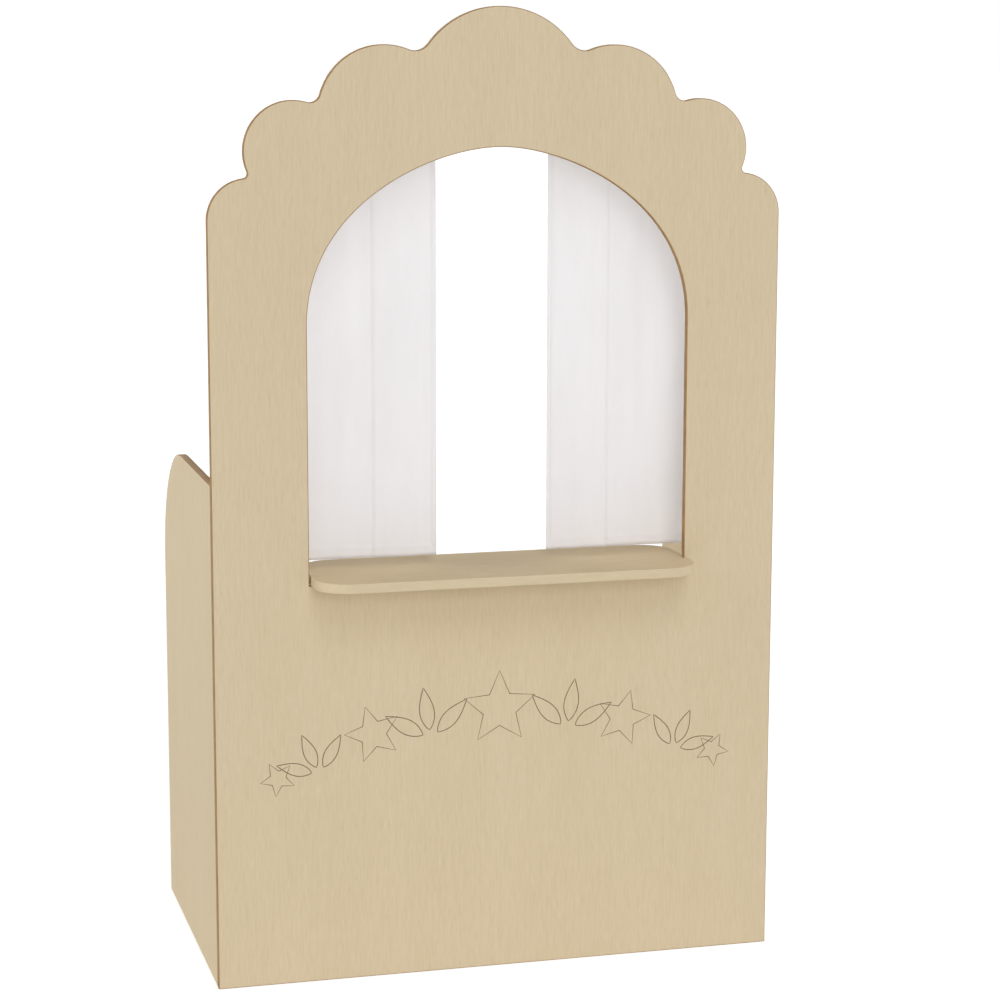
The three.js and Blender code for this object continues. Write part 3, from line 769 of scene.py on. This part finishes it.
def eased(profile, ease):
    """The profile with its outer corners rounded."""
    rounded = []
    for i, corner in enumerate(profile):
        here = Vector(corner)
        if i in (0, len(profile) - 1) or here.x < MERGE:
            rounded.append(tuple(here))
            continue
        before = Vector(profile[i - 1]) - here
        after = Vector(profile[i + 1]) - here
        reach = min(ease, before.length * EASE_REACH_SHARE, after.length * EASE_REACH_SHARE)
        first, last = here + before.normalized() * reach, here + after.normalized() * reach
        for step in range(EASE_STEPS + 1):
            t = step / EASE_STEPS
            rounded.append(tuple(first * (1 - t) ** 2 + here * 2 * t * (1 - t) + last * t ** 2))
    return rounded


ALONG_X = Matrix.Rotation(math.pi / 2, 4, "Y")
ALONG_MINUS_X = Matrix.Rotation(-math.pi / 2, 4, "Y")
ALONG_Y = Matrix.Rotation(-math.pi / 2, 4, "X")
ALONG_MINUS_Z = Matrix.Rotation(math.pi, 4, "X")


def ring_profile(major, minor, steps):
    turns = [2 * math.pi * i / steps for i in range(steps + 1)]
    return [(major + minor * math.cos(a), minor * math.sin(a)) for a in turns]


# Curtain rod and its caps, each with a plug in the rod, a rim and a domed face
PLUG_LENGTH = 0.014
PLUG_LEAD_ACROSS = 0.0008
PLUG_LEAD_ALONG = 0.001
RIM_EASE_ACROSS = 0.0006
RIM_EASE_ALONG = 0.0007
RIM_WIDTH = 0.0016
DOME_STEPS = 9
rod_low, rod_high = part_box("curtain_rod")
ROD_X = (rod_low.x + rod_high.x) / 2
ROD_Y = (rod_low.y + rod_high.y) / 2
ROD_Z = (rod_low.z + rod_high.z) / 2
ROD_HALF = (rod_high.x - rod_low.x) / 2
bore = ROD_RADIUS - ROD_WALL
rod_profile = eased([
    (bore, 0),
    (bore, -ROD_HALF),
    (ROD_RADIUS, -ROD_HALF),
    (ROD_RADIUS, ROD_HALF),
    (bore, ROD_HALF),
    (bore, 0),
], STEEL_EASE)
rod_place = Matrix.Translation((ROD_X, ROD_Y, ROD_Z)) @ ALONG_X
rod = turned("curtain_rod_tube", rod_profile, rod_place, white_steel)
belongs(smooth(rod), "stand", "rod_steel", "curtain_rod")

for side, way in SIDES:
    low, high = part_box(f"rod_cap_{side}")
    rim = (high.z - low.z) / 2
    face = ROD_X + way * ROD_HALF
    thickness = high.x - face if way > 0 else face - low.x
    plug = bore - FIT
    profile = [
        (0, -PLUG_LENGTH),
        (plug - PLUG_LEAD_ACROSS, -PLUG_LENGTH),
        (plug, PLUG_LEAD_ALONG - PLUG_LENGTH),
        (plug, FIT),
        (rim - RIM_EASE_ACROSS, FIT),
        (rim, FIT + RIM_EASE_ALONG),
    ]
    for i in range(DOME_STEPS):
        angle = math.radians(90 * i / DOME_STEPS)
        profile.append((rim * math.cos(angle), RIM_WIDTH + (thickness - RIM_WIDTH) * math.sin(angle)))
    profile.append((0, thickness))
    turn = ALONG_X if way > 0 else ALONG_MINUS_X
    cap = turned(f"rod_end_cap_{side}", profile, Matrix.Translation((face, ROD_Y, ROD_Z)) @ turn, nylon)
    belongs(smooth(cap), "stand", "cap_plastic", f"rod_cap_{side}")

# Rod brackets: a plate with rounded corners, an arm, and an eye round the rod
PLATE = 0.003
PLATE_CORNER = 0.005
ARM_HALF_WIDTH = 0.004
ARM_HALF_HEIGHT = 0.005
ARM_EASE = 0.0012
ARM_INTO_PLATE = 0.002
ARM_TO_BORE = 0.002
EYE_WIDTH = 0.010
EYE_EASE = 0.0008
for side, way in SIDES:
    low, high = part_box(f"rod_bracket_{side}")
    across = (low.x + high.x) / 2
    eye_radius = high.y - ROD_Y
    plate = board("plate", [rounded_box(low.x, high.x, low.z, high.z, PLATE_CORNER)], PLATE, STEEL_EASE,
                  Matrix.Translation((0, low.y + PLATE / 2, 0)) @ STANDING, [white_steel], 1)
    arm = block("arm", (across - ARM_HALF_WIDTH, low.y + PLATE - ARM_INTO_PLATE, ROD_Z - ARM_HALF_HEIGHT),
                (across + ARM_HALF_WIDTH, ROD_Y - ROD_RADIUS - ARM_TO_BORE, ROD_Z + ARM_HALF_HEIGHT),
                white_steel, ARM_EASE)
    eye_profile = eased([
        (0, -EYE_WIDTH / 2),
        (eye_radius, -EYE_WIDTH / 2),
        (eye_radius, EYE_WIDTH / 2),
        (0, EYE_WIDTH / 2),
    ], EYE_EASE)
    eye = turned("eye", eye_profile, Matrix.Translation((across, ROD_Y, ROD_Z)) @ ALONG_X, white_steel)
    hole = cylinder("hole", ROD_RADIUS + FIT, (across - EYE_WIDTH, ROD_Y, ROD_Z),
                    (across + EYE_WIDTH, ROD_Y, ROD_Z), white_steel)
    carved(plate, [arm, eye], "UNION")
    carved(plate, [hole])
    plate.name = f"rod_holder_{side}"
    belongs(smooth(plate), "stand", "rod_steel", f"rod_bracket_{side}")

# Pan-head screws with a cross recess. Their crosses stand at several angles.
SCREW_HEAD = 0.004
SCREW_HEIGHT = 0.0022
SCREW_RIM_SHARE = 0.35
SCREW_SHANK = 0.0019
SCREW_LENGTH = 0.013
SCREW_POINT = 0.003
SCREW_STEPS = 32
SCREW_DOME_STEPS = 6
RECESS_REACH = 0.0022
RECESS_HALF_WIDTH = 0.0004
RECESS_FLOOR = 0.0009
RECESS_TOP = 0.004
WALL_SCREW_TURN = 0.5
SHELF_SCREW_TURN = 0.3


def cross(reach, half_width, bottom, top):
    """Two crossed bars, for cutting a screwdriver's recess."""
    return [
        block("arm_x", (-reach, -half_width, bottom), (reach, half_width, top), zinc),
        block("arm_y", (-half_width, -reach, bottom), (half_width, reach, top), zinc),
    ]


def screw(name, place, node):
    profile = [
        (0, -SCREW_LENGTH),
        (SCREW_SHANK, SCREW_POINT - SCREW_LENGTH),
        (SCREW_SHANK, 0),
        (SCREW_HEAD, 0),
    ]
    for i in range(SCREW_DOME_STEPS):
        angle = math.radians(90 * i / SCREW_DOME_STEPS)
        share = SCREW_RIM_SHARE + (1 - SCREW_RIM_SHARE) * math.sin(angle)
        profile.append((SCREW_HEAD * math.cos(angle), SCREW_HEIGHT * share))
    profile.append((0, SCREW_HEIGHT))
    made = turned(name, profile, Matrix.Identity(4), zinc, steps=SCREW_STEPS)
    carved(made, cross(RECESS_REACH, RECESS_HALF_WIDTH, RECESS_FLOOR, RECESS_TOP))
    made.data.transform(place)
    belongs(smooth(made), "stand", "zinc_steel", node)


for side, way in SIDES:
    for i in (1, 2):
        for kind in ("rod_bracket_screw", "shelf_bracket_wall_screw"):
            node = f"{kind}_{side}_{i}"
            low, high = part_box(node)
            seat = Vector(((low.x + high.x) / 2, high.y - SCREW_HEIGHT, (low.z + high.z) / 2))
            turn = Matrix.Rotation(WALL_SCREW_TURN + i + way, 4, "Z")
            screw(f"pan_screw_{kind}_{side}_{i}", Matrix.Translation(seat) @ ALONG_Y @ turn, node)
        node = f"shelf_bracket_shelf_screw_{side}_{i}"
        low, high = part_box(node)
        seat = Vector(((low.x + high.x) / 2, (low.y + high.y) / 2, low.z + SCREW_HEIGHT))
        turn = Matrix.Rotation(SHELF_SCREW_TURN + i, 4, "Z")
        screw(f"pan_screw_shelf_{side}_{i}", Matrix.Translation(seat) @ ALONG_MINUS_Z @ turn, node)

# Angle brackets under the shelf, bent from strip
ANGLE_THICKNESS = 0.0025
ANGLE_BEND = 0.0045
for side, _ in SIDES:
    low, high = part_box(f"shelf_bracket_{side}")
    inner_y, inner_z = low.y + ANGLE_THICKNESS, high.z - ANGLE_THICKNESS
    inner_bend = ANGLE_BEND - ANGLE_THICKNESS
    outline = (
        straight((low.y, low.z), (inner_y, low.z), (inner_y, inner_z - inner_bend))
        + arc((inner_y + inner_bend, inner_z - inner_bend), inner_bend, math.pi, math.pi / 2)
        + straight((inner_y + inner_bend, inner_z), (high.y, inner_z), (high.y, high.z),
                   (low.y + ANGLE_BEND, high.z))
        + arc((low.y + ANGLE_BEND, high.z - ANGLE_BEND), ANGLE_BEND, math.pi / 2, math.pi)
        + straight((low.y, high.z - ANGLE_BEND), (low.y, low.z))
    )
    place = Matrix.Translation(((low.x + high.x) / 2, 0, 0)) @ SIDEWAYS
    bracket = board(f"angle_bracket_{side}", [outline], high.x - low.x, STEEL_EASE, place, [zinc], 0)
    belongs(bracket, "stand", "zinc_steel", f"shelf_bracket_{side}")

# Cams in the side panels' inner faces, with a cross for the screwdriver and a mark beside it. The bolts
# and dowels inside the boards keep their CAD shapes.
CAM_EASE = 0.0006
CAM_CROSS_REACH = 0.0042
CAM_CROSS_HALF_WIDTH = 0.0008
CAM_CROSS_DEPTH = 0.0018
CAM_MARK_START = 0.0050
CAM_MARK_END = 0.0068
CAM_MARK_HALF_WIDTH = 0.0003
CAM_TURN = 0.4
ABOVE_FACE = 0.001


def refinished(node, material):
    """Gives a CAD piece a better material."""
    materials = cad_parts[node].data.materials
    materials.clear()
    materials.append(material)


for side, way in SIDES:
    for i in (1, 2, 3):
        low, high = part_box(f"cam_{side}_{i}")
        centre = (low + high) / 2
        radius, depth = (high.z - low.z) / 2, high.x - low.x
        profile = eased([(0, -depth), (radius, -depth), (radius, 0), (0, 0)], CAM_EASE)
        cam = turned(f"cam_lock_{side}_{i}", profile, Matrix.Identity(4), zinc)
        mark = block("mark", (CAM_MARK_START, -CAM_MARK_HALF_WIDTH, -CAM_MARK_HALF_WIDTH),
                     (CAM_MARK_END, CAM_MARK_HALF_WIDTH, ABOVE_FACE), zinc)
        carved(cam, [*cross(CAM_CROSS_REACH, CAM_CROSS_HALF_WIDTH, -CAM_CROSS_DEPTH, ABOVE_FACE), mark])
        face = low.x if way > 0 else high.x
        outward = ALONG_MINUS_X if way > 0 else ALONG_X
        turn = Matrix.Rotation(CAM_TURN * i, 4, "Z")
        cam.data.transform(Matrix.Translation((face, centre.y, centre.z)) @ outward @ turn)
        belongs(smooth(cam), "stand", "zinc_steel", f"cam_{side}_{i}")
        refinished(f"cam_bolt_{side}_{i}", zinc)
    for i in (1, 2):
        refinished(f"dowel_{side}_{i}", beech)


# Curtain rings, each sewn to the cloth's top hem with three loops of thread that lean apart
RING_STEPS = 14
LOOP_RADIUS = 0.0040
LOOP_GAP = 0.0016
LOOP_LEAN = 0.096
LOOP_SINK = 0.0010
LOOP_STEPS = 20
THREAD_RADIUS = 0.00035
THREAD_STEPS = 6


def ring_body(side, i):
    if i == 1:
        return f"curtain_body_{side}"
    return "stand" if i == RING_COUNT else f"ring_body_{side}_{i}"


for side, _ in SIDES:
    for i in range(1, RING_COUNT + 1):
        node = f"curtain_ring_{side}_{i}"
        low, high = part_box(node)
        centre = (low + high) / 2
        place = Matrix.Translation((centre.x, ROD_Y, centre.z)) @ ALONG_X
        profile = ring_profile(RING_HOLE + RING_WIRE, RING_WIRE, RING_STEPS)
        ring = turned(f"steel_ring_{side}_{i}", profile, place, white_steel)
        belongs(smooth(ring), ring_body(side, i), "rod_steel", node)
        loops = bmesh.new()
        for step in (-1, 0, 1):
            profile = ring_profile(LOOP_RADIUS, THREAD_RADIUS, THREAD_STEPS)[:-1]
            points = [loops.verts.new((r, 0, h)) for r, h in profile]
            edges = [loops.edges.new((a, b)) for a, b in zip(points, points[1:] + points[:1])]
            bmesh.ops.spin(loops, geom=points + edges, cent=(0, 0, 0), axis=(0, 0, 1), angle=2 * math.pi,
                           steps=LOOP_STEPS, use_merge=True)
            own = [v for v in loops.verts if not v.tag]
            lean = Matrix.Rotation(step * LOOP_LEAN, 4, "Z")
            where = Matrix.Translation((centre.x, ROD_Y + step * LOOP_GAP, low.z + RING_WIRE - LOOP_SINK))
            bmesh.ops.transform(loops, matrix=where @ lean @ Matrix.Rotation(math.pi / 2, 4, "X"), verts=own)
            for v in own:
                v.tag = True
        bmesh.ops.recalc_face_normals(loops, faces=loops.faces)
        stitches = smooth(piece_of(f"ring_thread_{side}_{i}", loops, thread))
        belongs(stitches, ring_body(side, i), "curtain_cloth")


# Curtains: flat at the leading edge, one step back, flat again, then narrow pleats at the outer end
cloth_low, cloth_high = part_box("curtain_right")
LEAD_EDGE = cloth_low.x - ROD_X
SPAN = cloth_high.x - cloth_low.x
CLOTH_TOP = cloth_high.z
CLOTH_HEM = cloth_low.z
PLEAT_START = SPAN - PLEAT_WIDTH
PROFILE_STEPS = 2400

# The cloth sways a little off its folds, except near its leading edge and its top. Each sway has its
# reach, then how far its wave turns in a metre across, from the top to the hem, and with the side.
SWAYS = ((0.0010, 61, 1.7, 1), (0.0006, 143, -2.3, 0))
CALM_WIDTH = 0.03

# The top edge droops in shallow bows, each about from one ring to the next
DROOP = 0.0012
DROOP_START = 0.008
DROOP_PITCH = 0.064


def fold_depth(across):
    """How far the cloth stands behind the rod where its folds are full."""
    if across < LEAD_FLAT:
        return -FOLD_FORWARD
    if across < LEAD_FLAT + STEP_WIDTH:
        swing = math.cos(math.pi * (across - LEAD_FLAT) / STEP_WIDTH)
        return (FOLD_BACK - FOLD_FORWARD) / 2 - (FOLD_BACK + FOLD_FORWARD) / 2 * swing
    if across < PLEAT_START:
        return FOLD_BACK
    turn = 2 * math.pi * PLEAT_COUNT * (across - PLEAT_START) / PLEAT_WIDTH
    return FOLD_BACK - PLEAT_DEPTH / 2 * (1 - math.cos(turn))


def profile_table():
    """Places across, each with the length of cloth from the leading edge to it."""
    table = [(0.0, 0.0)]
    for i in range(1, PROFILE_STEPS + 1):
        across = SPAN * i / PROFILE_STEPS
        before, length = table[-1]
        rise = fold_depth(across) - fold_depth(before)
        table.append((across, length + math.hypot(across - before, rise)))
    return table


TABLE = profile_table()
FLAT_WIDTH = TABLE[-1][1]
FLAT_LENGTH = CLOTH_TOP - CLOTH_HEM


def across_at(length):
    """The place across that this length of cloth from the leading edge reaches."""
    low, high = 0, len(TABLE) - 1
    while high - low > 1:
        middle = (low + high) // 2
        if TABLE[middle][1] <= length:
            low = middle
        else:
            high = middle
    (a, la), (b, lb) = TABLE[low], TABLE[high]
    return a + (b - a) * (length - la) / (lb - la)


def eased_share(value):
    value = min(1.0, max(0.0, value))
    return value * value * (3 - 2 * value)


def cloth_point(length, z, way):
    """A point of the curtain: cloth length from the leading edge, height, and which curtain."""
    across = across_at(min(FLAT_WIDTH, max(0.0, length)))
    full = eased_share((CLOTH_TOP - z) / GATHER_DROP)
    low = (CLOTH_TOP - z) / FLAT_LENGTH
    sway = sum(reach * math.sin(across * waves + drift * low + turn * way)
               for reach, waves, drift, turn in SWAYS)
    free = eased_share(across / CALM_WIDTH) * full
    droop = DROOP * (1 - full) * math.sin(math.pi * ((across - DROOP_START) / DROOP_PITCH % 1.0))
    depth = fold_depth(across) * full + sway * free
    return Vector((ROD_X + way * (LEAD_EDGE + across), ROD_Y + depth, z - droop))


# The grid of the cloth. A hem is doubled cloth, which thins to single cloth over a short step.
COLUMN_SPACING = 0.0031
ROW_SPACING = 0.0095
SIDE_HEM_SHARES = (0.0, 0.3, 0.65)
LOW_HEM_SHARES = (0.0, 0.35, 0.7)
HEM_STEP = 0.0006
SINGLE_SHARE = 0.55
SIDE_END = FLAT_WIDTH - SIDE_HEM
LOW_HEM_TOP = CLOTH_HEM + HEM_HEIGHT
TOP_HEM = HEM_HEIGHT / 2
TOP_HEM_START = CLOTH_TOP - TOP_HEM


def evenly(start, end, spacing):
    """Even steps from start to end, each about as long as spacing."""
    count = round((end - start) / spacing)
    return [start + (end - start) * i / count for i in range(count + 1)]


def cloth_columns():
    """Lengths of cloth at which the grid has its columns, with the side hems' lines among them."""
    hem = [SIDE_HEM * share for share in SIDE_HEM_SHARES] + [SIDE_HEM - HEM_STEP]
    far_hem = [FLAT_WIDTH - length for length in reversed(hem)]
    return hem + evenly(SIDE_HEM, SIDE_END, COLUMN_SPACING) + far_hem


def cloth_rows():
    """Heights at which the grid has its rows, with the hems' lines among them."""
    low_hem = [CLOTH_HEM + HEM_HEIGHT * share for share in LOW_HEM_SHARES] + [LOW_HEM_TOP - HEM_STEP]
    top_hem = [TOP_HEM_START + HEM_STEP, CLOTH_TOP - TOP_HEM / 2, CLOTH_TOP]
    return low_hem + evenly(LOW_HEM_TOP, TOP_HEM_START, ROW_SPACING) + top_hem


def curtain_cloth(side, way):
    """A curtain as a grid bent to its folds and given its thickness."""
    columns, rows = cloth_columns(), cloth_rows()
    bm = bmesh.new()
    bmesh.ops.create_grid(bm, x_segments=len(columns) - 1, y_segments=len(rows) - 1, size=0.5)
    uv = bm.loops.layers.uv.new("cloth")
    doubled = bm.verts.layers.deform.verify()
    flat = {}
    for vertex in bm.verts:
        column = round((vertex.co.x + 0.5) * (len(columns) - 1))
        row = round((vertex.co.y + 0.5) * (len(rows) - 1))
        length, z = columns[column], rows[row]
        flat[vertex] = (length, z)
        hem = length < SIDE_HEM or length > SIDE_END or z < LOW_HEM_TOP or z > TOP_HEM_START
        vertex[doubled][0] = 1.0 if hem else 0.0
        vertex.co = cloth_point(length, z, way)
    for face in bm.faces:
        face.smooth = True
        for loop in face.loops:
            loop[uv].uv = flat[loop.vert]
    bmesh.ops.recalc_face_normals(bm, faces=bm.faces)
    piece = piece_of(f"cotton_curtain_{side}", bm, cotton)
    group = piece.vertex_groups.new(name="hem")
    solid = piece.modifiers.new("thickness", "SOLIDIFY")
    solid.thickness = CLOTH
    solid.offset = 0.0
    solid.vertex_group = group.name
    solid.thickness_vertex_group = SINGLE_SHARE
    piece.data = settled(piece)
    piece.modifiers.clear()
    return piece


# Stitches of the lower hem and of the hem beside the leading edge
STITCH_LENGTH = 0.0026
STITCH_WIDTH = 0.0004
STITCH_HEIGHT = 0.0005
STITCH_PITCH = 0.0040
STITCH_LIFT_SHARE = 0.52
SEAM_INSET = 0.0025
BESIDE = 0.0004


def stitch_places():
    """Length, height, run and rise of each stitch, above the lower hem and beside the leading edge."""
    places = []
    for i in range(int((FLAT_WIDTH - 2 * SIDE_HEM) / STITCH_PITCH)):
        places.append((SIDE_HEM + STITCH_PITCH * (i + 0.5), LOW_HEM_TOP - SEAM_INSET, STITCH_LENGTH, 0.0))
    for i in range(int((FLAT_LENGTH - HEM_HEIGHT) / STITCH_PITCH)):
        z = LOW_HEM_TOP + STITCH_PITCH * (i + 0.5)
        if z + STITCH_LENGTH <= TOP_HEM_START:
            places.append((SIDE_HEM - SEAM_INSET, z, 0.0, STITCH_LENGTH))
    return places


def hem_stitches(side, way):
    """The two sewn lines of a curtain, on both faces of the cloth."""
    bm = bmesh.new()
    for length, z, run, rise in stitch_places():
        start = cloth_point(length - run / 2, z - rise / 2, way)
        end = cloth_point(length + run / 2, z + rise / 2, way)
        beside = cloth_point(length + BESIDE, z, way) - cloth_point(length - BESIDE, z, way)
        above = cloth_point(length, z + BESIDE, way) - cloth_point(length, z - BESIDE, way)
        outward = beside.cross(above).normalized()
        along = (end - start).normalized()
        turn = Matrix((along, outward.cross(along), outward)).transposed().to_4x4()
        size = Matrix.Diagonal((STITCH_LENGTH, STITCH_WIDTH, STITCH_HEIGHT, 1))
        for face in (-1, 1):
            made = bmesh.ops.create_cube(bm, size=1.0)["verts"]
            middle = (start + end) / 2 + outward * (face * CLOTH * STITCH_LIFT_SHARE)
            bmesh.ops.transform(bm, matrix=Matrix.Translation(middle) @ turn @ size, verts=made)
    bmesh.ops.recalc_face_normals(bm, faces=bm.faces)
    return piece_of(f"hem_stitches_{side}", bm, thread)


for side, way in SIDES:
    cloth = curtain_cloth(side, way)
    stitches = hem_stitches(side, way)
    for piece in (cloth, stitches):
        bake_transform(piece)
    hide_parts(f"curtain_{side}")


# Studio: a pale floor, an even white surround, and soft lamps all round
FLOOR_REACH = 100.0
FLOOR_DROP = 0.0005
FLOOR_GLOW = 0.25
FLOOR_GLOW_SEEN = 0.56
SURROUND_LIGHT = 0.28


def studio_floor():
    """Matt white paint with a glow of its own, which is stronger for the camera, so that the floor looks
    white and only the soft shadow shows."""
    material, tree = new_material("studio_floor_paint")
    paint = add_node(tree, "ShaderNodeBsdfDiffuse", {"Color": linear("E4E4E4")})
    glow = add_node(tree, "ShaderNodeMapRange", {
        "Value": add_node(tree, "ShaderNodeLightPath").outputs["Is Camera Ray"],
        "To Min": FLOOR_GLOW,
        "To Max": FLOOR_GLOW_SEEN,
    })
    lift = add_node(tree, "ShaderNodeEmission", {"Color": (1, 1, 1, 1), "Strength": glow.outputs[0]})
    both = add_node(tree, "ShaderNodeAddShader", {0: paint.outputs[0], 1: lift.outputs[0]})
    add_node(tree, "ShaderNodeOutputMaterial", {"Surface": both.outputs[0]})
    return material


floor_mesh = bmesh.new()
bmesh.ops.create_grid(floor_mesh, x_segments=1, y_segments=1, size=FLOOR_REACH)
bmesh.ops.translate(floor_mesh, vec=(0, 0, -FLOOR_DROP), verts=floor_mesh.verts)
floor = piece_of("studio_floor", floor_mesh, studio_floor())

# The surround is white to the camera and in reflections, and lights everything else less strongly
world = bpy.data.worlds.new("studio_surround")
bpy.context.scene.world = world
world.use_nodes = True
sky = world.node_tree
sky.nodes.clear()
rays = add_node(sky, "ShaderNodeLightPath").outputs
seen = rays["Is Camera Ray"]
for other in ("Is Glossy Ray", "Is Transmission Ray"):
    seen = add_node(sky, "ShaderNodeMath", {0: seen, 1: rays[other]}, operation="MAXIMUM").outputs[0]
light = add_node(sky, "ShaderNodeMix", {
    MIX_SHARE: seen,
    MIX_UNDER: (SURROUND_LIGHT, SURROUND_LIGHT, SURROUND_LIGHT, 1),
    MIX_OVER: (1, 1, 1, 1),
}, data_type="RGBA").outputs[MIX_RESULT]
surround = add_node(sky, "ShaderNodeBackground", {"Color": light, "Strength": 1.0})
add_node(sky, "ShaderNodeOutputWorld", {"Surface": surround.outputs[0]})


def soft_sun(name, heading, height, softness, power):
    """A wide, even lamp far away. Its light runs at a heading, in degrees from straight away from the
    audience towards the right, and falls from a height above the floor, in degrees too."""
    heading = math.radians(heading)
    height = math.radians(height)
    towards = (
        math.sin(heading) * math.cos(height),
        math.cos(heading) * math.cos(height),
        -math.sin(height),
    )
    lamp = bpy.data.lights.new(name, "SUN")
    lamp.energy = power
    lamp.angle = math.radians(softness)
    far = in_scene(name, lamp)
    far.matrix_world = Vector(towards).to_track_quat("-Z", "Y").to_matrix().to_4x4()


soft_sun("front_low_lamp", heading=0, height=15, softness=30, power=0.86)
soft_sun("front_high_lamp", heading=0, height=50, softness=30, power=0.62)
soft_sun("left_lamp", heading=90, height=15, softness=50, power=1.28)
soft_sun("right_lamp", heading=-90, height=15, softness=50, power=0.75)
soft_sun("back_lamp", heading=175, height=4, softness=20, power=1.46)

# Camera: where the photograph was taken from. Turns are in radians, the focal length in picture pixels.
CAMERA_PLACE = (-1.3065, -5.1574, 1.7982)
CAMERA_YAW = 0.261227
CAMERA_PITCH = 0.171890
CAMERA_ROLL = 0.002348
FRAME_WIDTH = 1000
FOCAL_PIXELS = 2713.3
SENSOR = 36.0
camera = bpy.data.cameras.new("photo_camera")
camera.sensor_fit = "HORIZONTAL"
camera.sensor_width = SENSOR
camera.lens = FOCAL_PIXELS / FRAME_WIDTH * SENSOR
camera_object = in_scene("photo_camera", camera)
camera_object.matrix_world = (
    Matrix.Translation(CAMERA_PLACE)
    @ Matrix.Rotation(-CAMERA_YAW, 4, "Z")
    @ Matrix.Rotation(math.pi / 2 - CAMERA_PITCH, 4, "X")
    @ Matrix.Rotation(CAMERA_ROLL, 4, "Z")
)
bpy.context.scene.camera = camera_object
bpy.context.scene.view_settings.view_transform = "Standard"
